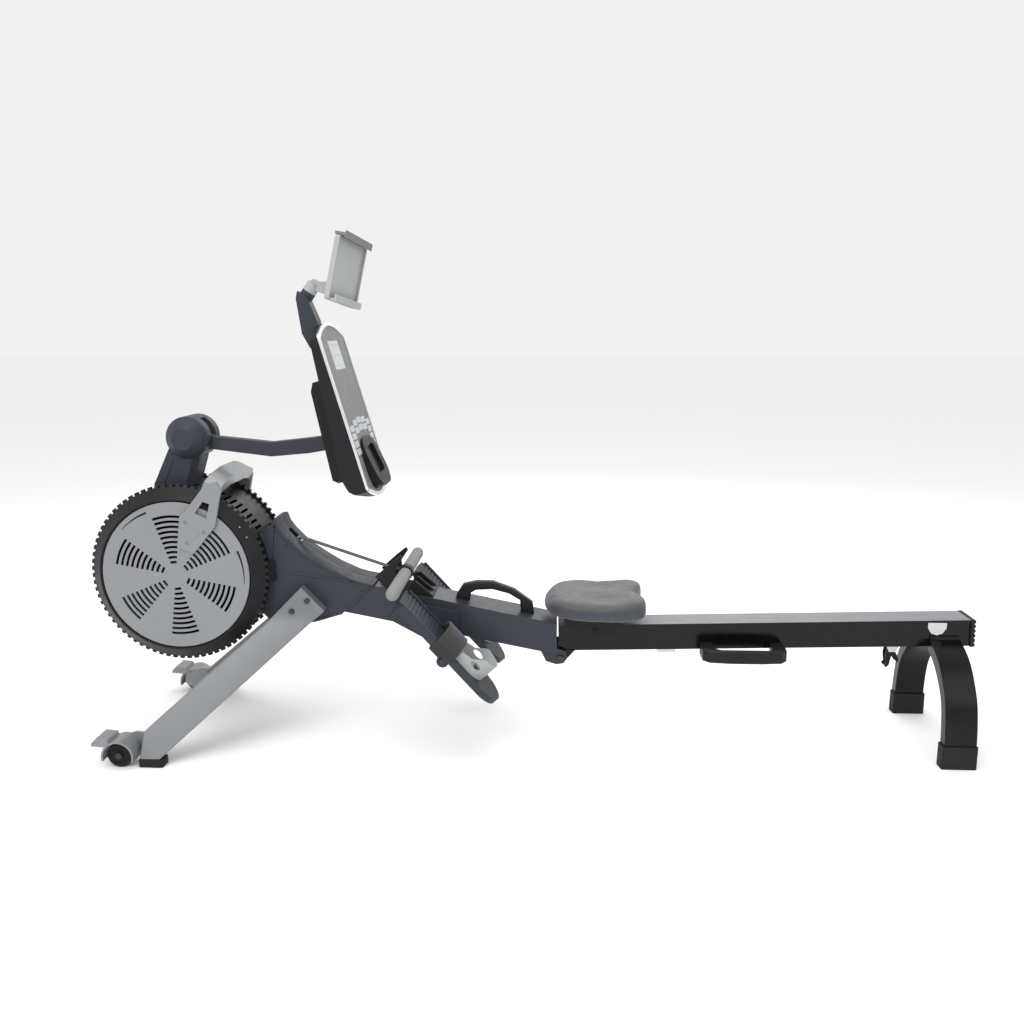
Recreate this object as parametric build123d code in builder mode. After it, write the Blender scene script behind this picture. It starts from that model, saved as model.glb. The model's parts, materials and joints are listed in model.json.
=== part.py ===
"""Folding air rower: a caged fan with a turning damper, a sloping frame tube,
a rail that folds down from the tube's end, a rolling seat, footrests, a pull
bar on a strap, and a console and a tablet holder on a swinging arm.

Lengths are in millimetres.  X runs along the machine, with the fan at -X and
the end of the rail at +X, Y runs across it and Z is up.  The floor is Z = 0.
The rower sits facing the fan, so the left side is -Y.
"""
from build123d import *
import os
from math import atan2, cos, radians, sin, tan

os.makedirs("parts", exist_ok=True)

SIDES = (("left", -1), ("right", 1))

# ------------------------------------------------------------ driving sizes
GAP = 0.3                       # clearance between bodies that move apart

FAN_X, FAN_Z = -878, 440        # axis of the fan
RIM_R = 224                     # toothed rim of the fan cage
DRUM_R = 214                    # drum wall of the cage
DISC_R = 184                    # damper disc
CAGE_HALF = 92                  # half width of the cage over its rims
CAGE_WALL_Y = 105               # outer face of the cage's side wall
DISC_Y = 115                    # inner face of the damper disc
DISC_THICK = 5
RIM_TEETH = 76
SECTOR_FIRST = -84              # angle of the first fan-shaped group of slots
SECTORS = 6
SECTOR_WIDTH = 27
SLOT_ROWS = 10
SLOT_FIRST_R, SLOT_PITCH, SLOT_WIDTH = 34, 12.7, 6.4
HANDLE_ANGLE = 63.7               # direction of the resistance handle

TUBE_HALF = 54                  # frame tube, half width
TUBE_TOP = ((-376, 397), (63, 308))
TUBE_BOTTOM = ((-487, 335), (63, 227.8))
COVER_HALF = 60                 # neck covers, half width
WALL = 3

FOLD_X, FOLD_Z = 73, 215        # pin that the rail folds about
RAIL_TILT = 1.58                # the rail rises toward its end
RAIL_START = (66, 300.4)        # front end of the rail's top face
RAIL_LENGTH = 1023
RAIL_HALF, RAIL_LIP = 37, 41.7  # half widths of the tube and of its top plate
RAIL_HEIGHT, RAIL_LIP_THICK = 68, 5

SPOOL_X, SPOOL_Z = -598, 408    # shaft of the strap spool
FAN_PULLEY_R, DRIVE_PULLEY_R = 14, 56

BAR_X, BAR_Z = -325, 425        # pull bar at rest in its cradle
BAR_HALF, BAR_R, GRIP_R, COLLAR_R = 212, 12.7, 16, 19

HUB_X, HUB_Z = -858, 772        # hinge of the console arm
TILT_X, TILT_Z = -490, 762      # hinge of the console on its arm
CONSOLE_LEAN = 16.3
CONSOLE_FACE = 68               # face of the console in front of its hinge
SWIVEL_X, SWIVEL_Z = -548, 1126  # swivel of the tablet holder

PEDAL_ANGLE = 47.7
PEDAL_X, PEDAL_Z = -213, 295    # a point on the footrest's top face
PEDAL_Y, PEDAL_HALF = 144, 60
PEDAL_THICK = 17
PIVOT_ALONG, PIVOT_BELOW = 31, 25
AXLE_R = 8

WHEEL_X, WHEEL_Z, WHEEL_R = -986, 31, 31
WHEEL_Y = 252

SEAT_X = 158                    # middle of the seat at rest
ROLLER_R = 15


# ------------------------------------------------------------ shape helpers
def plate(points, y_low, y_high, mode=Mode.ADD):
    """A straight-sided outline in X and Z, thick between two values of Y."""
    with BuildSketch(Plane.XZ.offset(-y_high)) as profile:
        with BuildLine():
            Polyline(*points, close=True)
        make_face()
    extrude(profile.sketch, amount=y_high - y_low, mode=mode)


def rod(x, z, radius, y_low, y_high, mode=Mode.ADD):
    """A cylinder along Y."""
    with BuildSketch(Plane.XZ.offset(-y_high)) as disc:
        with Locations((x, z)):
            Circle(radius)
    extrude(disc.sketch, amount=y_high - y_low, mode=mode)


def turned(x, z, points, mode=Mode.ADD):
    """Points (radius, y) turned about the line along Y through x and z."""
    with BuildSketch(Plane((x, 0, z))) as profile:
        with BuildLine():
            Polyline(*points, close=True)
        make_face()
    revolve(profile.sketch, Axis((x, 0, z), (0, 1, 0)), mode=mode)


def block(plane, points, start, end, mode=Mode.ADD):
    """A straight-sided outline on a plane, thick between two offsets."""
    with BuildSketch(plane.offset(start)) as profile:
        with BuildLine():
            Polyline(*points, close=True)
        make_face()
    extrude(profile.sketch, amount=end - start, mode=mode)


def notches(radius, depth, width, angles, y_low, y_high):
    """Cuts of one size set round the fan axis at the given angles."""
    with BuildSketch(Plane.XZ.offset(-y_high)) as cuts:
        for angle in angles:
            turn = radians(angle)
            with Locations(Location((FAN_X + radius * cos(turn),
                                     FAN_Z + radius * sin(turn)), angle)):
                Rectangle(depth, width)
    extrude(cuts.sketch, amount=y_high - y_low, mode=Mode.SUBTRACT)


def sector(inner, outer, middle, width):
    """A ring sector round the origin of a sketch plane, as a sketch."""
    with BuildSketch() as ring:
        Circle(outer)
        Circle(inner, mode=Mode.SUBTRACT)
        reach = 2 * outer
        low, high = radians(middle - width / 2), radians(middle + width / 2)
        with BuildSketch(mode=Mode.INTERSECT):
            with BuildLine():
                Polyline((0, 0), (reach * cos(low), reach * sin(low)),
                         (reach * cos(high), reach * sin(high)), close=True)
            make_face()
    return ring.sketch


def on_line(line, x):
    """Height of the line through two (x, z) points at x."""
    (x0, z0), (x1, z1) = line
    return z0 + (z1 - z0) * (x - x0) / (x1 - x0)


def local(plane, x, y, z=0):
    """A point of a plane's own frame, as a point of the model."""
    return plane.from_local_coords(Vector(x, y, z))


# ------------------------------------------------------------ fan cage
SECTOR_ANGLES = [SECTOR_FIRST + 360 / SECTORS * i for i in range(SECTORS)]
VENT_ANGLES = [30 + 4.7 * i for i in range(31)]
CAGE_PROFILE = ((20, CAGE_WALL_Y), (187, CAGE_WALL_Y), (187, 118),
                (191, 119.7), (217, 95), (RIM_R, CAGE_HALF), (RIM_R, 84),
                (DRUM_R, 84), (DRUM_R, 0), (DRUM_R - WALL, 0),
                (DRUM_R - WALL, 86), (195, 101), (20, 101))

for side, sign in SIDES:
    with BuildPart() as fan_shroud:
        turned(FAN_X, FAN_Z, [(r, sign * y) for r, y in CAGE_PROFILE])
        wall = sorted((sign * 100, sign * 106))
        for angle in SECTOR_ANGLES:
            window = sector(28, 155, angle, SECTOR_WIDTH + 6)
            with BuildSketch(Plane.XZ.offset(-wall[1])) as opening:
                with Locations((FAN_X, FAN_Z)):
                    add(window)
            extrude(opening.sketch, amount=6, mode=Mode.SUBTRACT)
        rim = sorted((sign * 83, sign * 95))
        notches(RIM_R, 13, 9, [360 / RIM_TEETH * i for i in range(RIM_TEETH)],
                rim[0], rim[1])
        if sign < 0:
            notches(DRUM_R, 12, 7, VENT_ANGLES, -70, -14)
        # the way in for the frame, the belt and the two fork plates
        neck = sorted((0, sign * 56))
        plate(((-700, 350), (-600, 350), (-600, 530), (-700, 530)),
              neck[0], neck[1], Mode.SUBTRACT)
        fork = sorted((0, sign * 83.8))
        plate(((-700, 411), (-600, 411), (-600, 469), (-700, 469)),
              fork[0], fork[1], Mode.SUBTRACT)
    fan_shroud.part.label = f"fan_shroud_{side}"
    export_step(fan_shroud.part, f"parts/fan_shroud_{side}.step")

# ------------------------------------------------------------ fan wheel
FAN_LOW, FAN_HIGH = -72, 26
BLADES = 20
FLYWHEEL_R, FLYWHEEL_LOW, FLYWHEEL_HIGH = 135, 50.5, 54.5

with BuildPart() as fan_wheel:
    turned(FAN_X, FAN_Z, ((AXLE_R + 0.1, FAN_LOW), (24, FAN_LOW), (24, -20),
                          (195, -20), (195, -17), (24, -17), (24, FAN_HIGH),
                          (20, 31), (20, 33), (FAN_PULLEY_R, 33),
                          (FAN_PULLEY_R, 46), (20, 46), (20, FLYWHEEL_LOW),
                          (FLYWHEEL_R, FLYWHEEL_LOW), (FLYWHEEL_R, FLYWHEEL_HIGH),
                          (AXLE_R + 0.1, FLYWHEEL_HIGH)))
    with BuildSketch(Plane.XZ.offset(-FAN_HIGH)) as blades:
        for i in range(BLADES):
            with Locations(Location((FAN_X, FAN_Z), 360 / BLADES * i)):
                with Locations((150, 0)):
                    Rectangle(90, 2.5)
    extrude(blades.sketch, amount=FAN_HIGH - FAN_LOW)
    for low in (FAN_LOW, FAN_HIGH - 3):
        turned(FAN_X, FAN_Z, ((170, low), (197, low), (197, low + 3), (170, low + 3)))
fan_wheel.part.label = "fan_wheel"
export_step(fan_wheel.part, "parts/fan_wheel.step")

# the magnets straddle the flywheel: a curved shoe hinged inside the cage
BRAKE_X, BRAKE_Z = FAN_X + 150, FAN_Z - 95
with BuildPart() as magnet_bracket:
    shoe = sector(100, 140, -8, 44)
    with BuildSketch(Plane.XZ.offset(-59)) as shoe_face:
        with Locations((FAN_X, FAN_Z)):
            add(shoe)
    extrude(shoe_face.sketch, amount=13)
    plate(((-748, 388), (-734, 404), (-716, 345), (-734, 345)), 55.5, 61)
    rod(BRAKE_X, BRAKE_Z, 10, 55.5, 61)
    rod(FAN_X, FAN_Z, FLYWHEEL_R + 2.5, 49.7, 55.3, Mode.SUBTRACT)
    rod(BRAKE_X, BRAKE_Z, 4.1, 54, 68, Mode.SUBTRACT)
magnet_bracket.part.label = "magnet_bracket"
export_step(magnet_bracket.part, "parts/magnet_bracket.step")

# ------------------------------------------------------------ damper and its handle
HUB_FACE = CAGE_WALL_Y + 1.5     # inner end of the disc's boss
for side, sign in SIDES:
    inner, outer = sign * DISC_Y, sign * (DISC_Y + DISC_THICK)
    with BuildPart() as damper_disc:
        turned(FAN_X, FAN_Z, ((0, outer), (DISC_R - 1.5, outer),
                              (DISC_R, outer - sign * 1.5), (DISC_R, inner),
                              (15, inner), (15, sign * HUB_FACE), (6.1, sign * HUB_FACE),
                              (6.1, sign * 115.6), (0, sign * 115.6)))
        with BuildSketch() as slots:
            for row in reversed(range(SLOT_ROWS)):
                middle = SLOT_FIRST_R + SLOT_PITCH * row
                Circle(middle + SLOT_WIDTH / 2)
                Circle(middle - SLOT_WIDTH / 2, mode=Mode.SUBTRACT)
            with BuildSketch(mode=Mode.INTERSECT):
                for angle in SECTOR_ANGLES:
                    low = radians(angle - SECTOR_WIDTH / 2)
                    high = radians(angle + SECTOR_WIDTH / 2)
                    with BuildLine():
                        Polyline((0, 0), (300 * cos(low), 300 * sin(low)),
                                 (300 * cos(high), 300 * sin(high)), close=True)
                    make_face()
        high_y = max(inner, outer) + 1
        with BuildSketch(Plane.XZ.offset(-high_y)) as slot_cuts:
            with Locations((FAN_X, FAN_Z)):
                add(slots.sketch)
        extrude(slot_cuts.sketch, amount=DISC_THICK + 2, mode=Mode.SUBTRACT)
    damper_disc.part.label = f"damper_disc_{side}"
    export_step(damper_disc.part, f"parts/damper_disc_{side}.step")

HANDLE_DIR = (cos(radians(HANDLE_ANGLE)), 0, sin(radians(HANDLE_ANGLE)))
ARM_OUTLINE = ((71, 22), (75, -21), (162, -41.6), (254, -17.5), (262, 0), (248, 20.5),
               (166, 38.7), (146, 47))
ARM_WINDOW = ((170, -15), (206, -7), (204, 10), (169, 16.6))
ARM_SCREWS = ((138, 27.5), (136, -22.8), (93, 3.3))
ARM_PANEL = ((101, 10), (131, 18), (130, -14), (109, -9))
ARM_IN, ARM_OUT = DISC_Y + DISC_THICK, 129

with BuildPart() as resistance_handle:
    arm_plane = Plane((FAN_X, 0, FAN_Z), x_dir=HANDLE_DIR, z_dir=(0, -1, 0))
    for sign in (-1, 1):
        low, high = sorted((-sign * ARM_IN, -sign * ARM_OUT))
        block(arm_plane, ARM_OUTLINE, low, high)
    # the bridge over the cage, arched across the machine
    bridge_plane = Plane((FAN_X, 0, FAN_Z), x_dir=(0, 1, 0),
                         z_dir=(HANDLE_DIR[2], 0, -HANDLE_DIR[0]))
    bridge = [(129, 232), (129, 252), (104, 271), (50, 281)]
    under = [(50, 250), (96, 243), (120, 232)]
    arch = bridge + [(-y, r) for y, r in reversed(bridge)]
    arch += [(-y, r) for y, r in reversed(under)] + under
    block(bridge_plane, arch, -25, 17)
    for sign in (-1, 1):
        low, high = sorted((-sign * ARM_IN, -sign * (ARM_OUT + 1)))
        block(arm_plane, ARM_WINDOW, low, high, Mode.SUBTRACT)
    # recessed screw heads and the raised panel between them
    for sign in (-1, 1):
        face = -sign * ARM_OUT
        low, high = sorted((face, face + sign * 2.5))
        with BuildSketch(arm_plane.offset(low)) as recesses:
            with Locations(*ARM_SCREWS):
                Circle(5)
        extrude(recesses.sketch, amount=high - low, mode=Mode.SUBTRACT)
        low, high = sorted((face, face - sign * 1.2))
        block(arm_plane, ARM_PANEL, low, high)
resistance_handle.part.label = "resistance_handle"
export_step(resistance_handle.part, "parts/resistance_handle.step")

# ------------------------------------------------------------ frame
def inset(line, amount, x):
    """A (x, z) point at x on a line moved down by amount."""
    return (x, on_line(line, x) - amount)


with BuildPart() as main_frame:
    plate(((-478, on_line(TUBE_BOTTOM, -478)), (-455, 400), inset(TUBE_TOP, 0, -415),
           TUBE_TOP[1], TUBE_BOTTOM[1]), -TUBE_HALF, TUBE_HALF)
    plate((inset(TUBE_BOTTOM, -WALL, -470), inset(TUBE_TOP, WALL, -440),
           inset(TUBE_TOP, WALL, 59), inset(TUBE_BOTTOM, -WALL, 59)),
          -TUBE_HALF + WALL, TUBE_HALF - WALL, Mode.SUBTRACT)
    # the steel neck inside the covers carries the fork and the spool shaft
    for low in (-52, 46.5):
        plate(((-452, 395), (-470, 338), (-560, 322), (-640, 350), (-645, 462),
               (-600, 462), (-530, 420)), low, low + 5.5)
        rod(SPOOL_X, SPOOL_Z, AXLE_R - 0.4, low - 1, low + 7, Mode.SUBTRACT)
    plate(((-560, 322), (-560, 328), (-475, 340), (-475, 334)), -52, 52)
    # ears for the fold pin under the end of the tube
    for low in (-50, 44):
        plate(((22, 236), (36, 208), (62, 200), (80, 203), (90, 217), (86, 234),
               (59, 244), (30, 250)), low, low + 6)
        rod(FOLD_X, FOLD_Z, 6, low - 1, low + 7, Mode.SUBTRACT)
main_frame.part.label = "main_frame"
export_step(main_frame.part, "parts/main_frame.step")

with BuildPart() as fan_forks:
    for sign in (-1, 1):
        half = [(-580, sign * 56.3), (-643, sign * 56.3), (-668, sign * 83),
                (-893, sign * 83), (-893, sign * 79), (-666, sign * 79),
                (-641, sign * 52.3), (-580, sign * 52.3)]
        with BuildSketch(Plane.XY.offset(415)) as fork_plan:
            with BuildLine():
                Polyline(*half, close=True)
            make_face()
        extrude(fork_plan.sketch, amount=50)
        low, high = sorted((sign * 78, sign * 84))
        rod(FAN_X, FAN_Z, AXLE_R, low, high, Mode.SUBTRACT)
fan_forks.part.label = "fan_forks"
export_step(fan_forks.part, "parts/fan_forks.step")

STRAP_GUIDE = (-601.1, 504.9)
STRAP_GUIDE_R = 10
with BuildPart() as drive_axles:
    rod(FAN_X, FAN_Z, AXLE_R, -100, 100)
    rod(FAN_X, FAN_Z, 6, -113, 113)
    rod(SPOOL_X, SPOOL_Z, AXLE_R - 0.4, -52, 52)
    rod(STRAP_GUIDE[0], STRAP_GUIDE[1], STRAP_GUIDE_R, -12, 12)
    rod(STRAP_GUIDE[0], STRAP_GUIDE[1], 3.5, -56.5, 56.5)
    rod(BRAKE_X, BRAKE_Z, 4, 55.5, 101)
drive_axles.part.label = "drive_axles"
export_step(drive_axles.part, "parts/drive_axles.step")

with BuildPart() as drive_pulley:
    turned(SPOOL_X, SPOOL_Z, ((AXLE_R - 0.3, 18), (20, 18), (20, 32),
                              (DRIVE_PULLEY_R - 8, 34), (DRIVE_PULLEY_R - 8, 32.5),
                              (DRIVE_PULLEY_R, 32.5), (DRIVE_PULLEY_R, 45.5),
                              (AXLE_R - 0.3, 45.5)))
drive_pulley.part.label = "drive_pulley"
export_step(drive_pulley.part, "parts/drive_pulley.step")

with BuildPart() as strap_spool:
    turned(SPOOL_X, SPOOL_Z, ((AXLE_R - 0.3, -16), (36, -16), (36, -13), (28, -13),
                              (28, 13), (36, 13), (36, 16), (AXLE_R - 0.3, 16)))
strap_spool.part.label = "strap_spool"
export_step(strap_spool.part, "parts/strap_spool.step")

with BuildPart() as recoil_spring:
    turned(SPOOL_X, SPOOL_Z, ((12, -45), (38, -45), (38, -20), (12, -20)))
recoil_spring.part.label = "recoil_spring"
export_step(recoil_spring.part, "parts/recoil_spring.step")

BELT_GAP, BELT_THICK = 0.3, 2
with BuildPart() as drive_belt:
    for extra, mode in ((BELT_GAP + BELT_THICK, Mode.ADD), (BELT_GAP, Mode.SUBTRACT)):
        with BuildSketch(Plane.XZ.offset(-44)) as loop:
            with Locations((FAN_X, FAN_Z)):
                Circle(FAN_PULLEY_R + extra)
            with Locations((SPOOL_X, SPOOL_Z)):
                Circle(DRIVE_PULLEY_R + extra)
            make_hull()
        extrude(loop.sketch, amount=9, mode=mode)
drive_belt.part.label = "drive_belt"
export_step(drive_belt.part, "parts/drive_belt.step")

# ------------------------------------------------------------ neck covers
COVER_TOP = ((-652, 556), (-641, 566), (-634, 545), (-617, 523), (-582, 490),
             (-551, 468), (-505, 440), (-456, 418), (-407, 409), (-396, 412))
CROWN = ((46, 5), (32, 9))       # half width and height of each step of the crown
COVER_BOTTOM = ((-482, 328), (-505, 321), (-555, 306), (-668, 312))
EDGE_R = 237                     # the covers' open edge beside the fan cage


def cage_edge(z):
    """The point of the covers' open edge at height z."""
    return (FAN_X + (EDGE_R ** 2 - (z - FAN_Z) ** 2) ** 0.5, z)


COVER_EDGE = tuple(cage_edge(z) for z in (330, 360, 400, 440, 480, 520, 545))
COVER_OUTLINE = COVER_TOP + COVER_BOTTOM + COVER_EDGE
COVER_INSIDE = ((-645, 559), (-638, 543), (-621, 519.5), (-585, 486), (-553, 464),
                (-507, 436), (-458, 414), (-408, 405), (-396, 408), (-484, 331),
                (-505, 324.5), (-555, 309.5), (-700, 315), (-700, 559))
SLOT_HALF = 14


def crown(lift):
    """A strip on the covers' top edge, raised most at its upper end."""
    edge = COVER_TOP[1:8]
    span = edge[-1][0] - edge[0][0]
    raised = [(x, z + lift * (edge[-1][0] - x) / span) for x, z in edge]
    return raised + [(x, z - 2) for x, z in reversed(edge)]


for side, sign in SIDES:
    with BuildPart() as drive_cover:
        low, high = sorted((0, sign * COVER_HALF))
        plate(COVER_OUTLINE, low, high)
        for half, lift in CROWN:
            low, high = sorted((0, sign * half))
            plate(crown(lift), low, high)
        low, high = sorted((-sign * 1, sign * (COVER_HALF - WALL)))
        plate(COVER_INSIDE, low, high, Mode.SUBTRACT)
        # room for the frame tube, which starts inside the covers
        low, high = sorted((-sign * 1, sign * (TUBE_HALF + GAP)))
        plate(((-486, 320), (-470, 412), (-380, 412), (-380, 320)), low, high,
              Mode.SUBTRACT)
        low, high = sorted((-sign * 1, sign * SLOT_HALF))
        plate(((-626, 545), (-622, 505), (-588, 480), (-590, 525)), low, high,
              Mode.SUBTRACT)
        low, high = sorted((-sign * 1, sign * (COVER_HALF - WALL)))
        rod(STRAP_GUIDE[0], STRAP_GUIDE[1], 6, low, high, Mode.SUBTRACT)
    drive_cover.part.label = f"drive_cover_{side}"
    export_step(drive_cover.part, f"parts/drive_cover_{side}.step")

# ------------------------------------------------------------ front legs
LEG_THICK = 34
LEG_FOLD_Z, LEG_FOOT_Z = 315, 20
LEG_FOLD_X = (-665, -553)
LEG_RUN = (-337, 170, LEG_FOOT_Z - LEG_FOLD_Z)   # from the fold down to the pad
LEG_IN = COVER_HALF + 0.3

for side, sign in SIDES:
    near, far = sign * LEG_IN, sign * (LEG_IN + LEG_THICK)
    with BuildPart() as front_leg:
        low, high = sorted((near, far))
        plate(((LEG_FOLD_X[0], LEG_FOLD_Z), (-575, 406), (-517, 345),
               (LEG_FOLD_X[1], LEG_FOLD_Z)), low, high)
        with BuildSketch(Plane.XY.offset(LEG_FOLD_Z)) as leg_section:
            with BuildLine():
                Polyline((LEG_FOLD_X[0], near), (LEG_FOLD_X[1], near),
                         (LEG_FOLD_X[1], far), (LEG_FOLD_X[0], far), close=True)
            make_face()
        run = Vector(LEG_RUN[0], sign * LEG_RUN[1], LEG_RUN[2])
        extrude(leg_section.sketch, amount=run.length, dir=run.normalized())
        low, high = sorted((0, sign * 300))
        plate(((-1200, 0), (-939, 0), (-939, 200), (-1200, 200)), low, high,
              Mode.SUBTRACT)
    front_leg.part.label = f"front_leg_{side}"
    export_step(front_leg.part, f"parts/front_leg_{side}.step")

FOOT_Y = LEG_IN + LEG_RUN[1] + LEG_THICK / 2
with BuildPart() as front_foot_pads:
    for sign in (-1, 1):
        with BuildSketch(Plane.XY) as pad:
            with Locations((-911, sign * FOOT_Y)):
                RectangleRounded(60, LEG_THICK + 4, 6)
        extrude(pad.sketch, amount=LEG_FOOT_Z)
front_foot_pads.part.label = "front_foot_pads"
export_step(front_foot_pads.part, "parts/front_foot_pads.step")

# ------------------------------------------------------------ wheels and fenders
FENDER_HALF = 27
with BuildPart() as wheel_fenders:
    for sign in (-1, 1):
        low, high = sorted((sign * (WHEEL_Y - 34), sign * (WHEEL_Y + FENDER_HALF)))
        with BuildSketch(Plane.XZ.offset(-high)) as hood:
            with Locations((WHEEL_X, WHEEL_Z)):
                Circle(WHEEL_R + 8.5)
                Circle(WHEEL_R + 4, mode=Mode.SUBTRACT)
            with BuildLine():
                Polyline((-1100, 0), (WHEEL_X, WHEEL_Z), (WHEEL_X + 60, 12),
                         (WHEEL_X + 60, -60), (-1100, -60), close=True)
            make_face(mode=Mode.SUBTRACT)
        extrude(hood.sketch, amount=high - low)
        # toe plate that tips the machine onto its wheels
        plate(((-1016, 56), (-1003, 63), (-1008, 74), (-1037, 76), (-1047, 66),
               (-1047, 58), (-1040, 58)), low, high)
        # inner cheek that carries the axle and joins the leg
        cheek = sorted((sign * (WHEEL_Y - 34), sign * (WHEEL_Y - 26)))
        plate(((-939.2, 24), (-939.2, 72), (-960, 74), (-1006, 60), (-1010, 30),
               (-986, 14)), cheek[0], cheek[1])
        low, high = sorted((sign * (WHEEL_Y - 30), sign * (WHEEL_Y + 17)))
        rod(WHEEL_X, WHEEL_Z, 5, low, high)
wheel_fenders.part.label = "wheel_fenders"
export_step(wheel_fenders.part, "parts/wheel_fenders.step")

for side, sign in SIDES:
    with BuildPart() as transport_wheel:
        low, high = sign * (WHEEL_Y - 14), sign * (WHEEL_Y + 14)
        turned(WHEEL_X, WHEEL_Z,
               ((5.1, low), (WHEEL_R - 3, low), (WHEEL_R, low + sign * 3),
                (WHEEL_R, high - sign * 3), (WHEEL_R - 3, high), (23, high),
                (22, high - sign * 4), (12, high - sign * 4), (10, high), (5.1, high)))
    transport_wheel.part.label = f"transport_wheel_{side}"
    export_step(transport_wheel.part, f"parts/transport_wheel_{side}.step")

# ------------------------------------------------------------ console mast and arm
HUB_R, HUB_HALF, MAST_HALF = 53, 55, 45
ARM_HALF = 16
PIN_R = 6
with BuildPart() as console_mast:
    plate(((-905, 745), (-948, 655), (-948, 632), (-850, 632), (-850, 664),
           (-832, 722), (-845, 760)), -MAST_HALF, MAST_HALF)
    rear = console_mast.edges().filter_by(GeomType.LINE)
    rear = [e for e in rear if e.center().X > -856 and e.length > 30
            and abs(e.center().Y) > 40 and 640 < e.center().Z < 700]
    chamfer(rear, 14)
    turned(HUB_X, HUB_Z, ((0, -HUB_HALF), (HUB_R - 9, -HUB_HALF), (HUB_R, -HUB_HALF + 11),
                          (HUB_R, HUB_HALF - 11), (HUB_R - 9, HUB_HALF), (0, HUB_HALF)))
    rod(FAN_X, FAN_Z, DRUM_R + 0.2, -60, 60, Mode.SUBTRACT)
    rod(HUB_X, HUB_Z, 40.5, -ARM_HALF - 1, ARM_HALF + 1, Mode.SUBTRACT)
    # slot that the arm swings in
    sweep_angles = (62, 45, 25, 0, -25, -38)
    swing = [(HUB_X, HUB_Z)] + [(HUB_X + 90 * cos(radians(a)), HUB_Z + 90 * sin(radians(a)))
                                for a in sweep_angles]
    plate(swing, -ARM_HALF - 1, ARM_HALF + 1, Mode.SUBTRACT)
    rod(HUB_X, HUB_Z, PIN_R, -ARM_HALF - 2, ARM_HALF + 2)
    # recessed panel with its screw
    plate(((-894, 722), (-872, 716), (-862, 700), (-881, 652), (-925, 652)),
          -MAST_HALF - 1, -MAST_HALF + 2, Mode.SUBTRACT)
console_mast.part.label = "console_mast"
export_step(console_mast.part, "parts/console_mast.step")

with BuildPart() as hub_caps:
    for sign in (-1, 1):
        turned(HUB_X, HUB_Z, ((0, sign * HUB_HALF), (46, sign * HUB_HALF),
                              (45, sign * (HUB_HALF + 3)), (29, sign * 74),
                              (27, sign * 76), (0, sign * 76)))
hub_caps.part.label = "hub_caps"
export_step(hub_caps.part, "parts/hub_caps.step")

with BuildPart() as console_arm:
    plate(((-850, 790), (-800, 773), (-656, 759), (-560, 770), (-492, 780),
           (-492, 744), (-560, 732), (-656, 723), (-800, 740), (-850, 755)),
          -ARM_HALF, ARM_HALF)
    rod(HUB_X, HUB_Z, 40, -ARM_HALF, ARM_HALF)
    rod(TILT_X, TILT_Z, 19, -ARM_HALF, ARM_HALF)
    rod(HUB_X, HUB_Z, PIN_R + 0.1, -20, 20, Mode.SUBTRACT)
    rod(TILT_X, TILT_Z, 5.1, -20, 20, Mode.SUBTRACT)
console_arm.part.label = "console_arm"
export_step(console_arm.part, "parts/console_arm.step")

# ------------------------------------------------------------ console
LEAN = radians(CONSOLE_LEAN)
CONSOLE = Plane((TILT_X, 0, TILT_Z), x_dir=(0, 1, 0), z_dir=(cos(LEAN), 0, sin(LEAN)))
CONSOLE_SIDE = Plane((TILT_X, 0, TILT_Z), x_dir=(cos(LEAN), 0, sin(LEAN)), z_dir=(0, -1, 0))
CONSOLE_TOP, CONSOLE_BOTTOM, CONSOLE_HALF = 284, -157, 136
BEZEL_WIDTH = 9


def console_outline(margin):
    """The console's front outline, drawn in from its edge by a margin."""
    top, bottom = CONSOLE_TOP - margin, CONSOLE_BOTTOM + margin
    half, corner = CONSOLE_HALF - margin, 62 - margin
    with BuildSketch() as face:
        with BuildLine():
            right = Line((half, bottom + 40), (half, top - 40))
            crown = ThreePointArc((half - 22, top - 22), (0, top), (-half + 22, top - 22))
            Spline(right @ 1, crown @ 0, tangents=(right % 1, crown % 0))
            left = Line((-half, top - 40), (-half, bottom + 40))
            Spline(crown @ 1, left @ 0, tangents=(crown % 1, left % 0))
            sole = ThreePointArc((-half + 22, bottom + 22), (0, bottom),
                                 (half - 22, bottom + 22))
            Spline(left @ 1, sole @ 0, tangents=(left % 1, sole % 0))
            Spline(sole @ 1, right @ 0, tangents=(sole % 1, right % 0))
        make_face()
    return face.sketch


def behind(shift):
    """What lies behind the console's sloping back, drawn in by a shift."""
    return ((-80, 340), (46.4 + shift, 340), (46.4 + shift, 284), (12.4 + shift, -86),
            (20 + shift, -117), (33 + shift, -132), (60 + shift, -160), (60 + shift, -200), (-80, -200))


with BuildPart() as console_hollow:
    with BuildSketch(CONSOLE.offset(15)) as core:
        add(console_outline(WALL))
    extrude(core.sketch, amount=CONSOLE_FACE - 6 - 15)
    block(CONSOLE_SIDE, behind(WALL), -200, 200, Mode.SUBTRACT)

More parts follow.
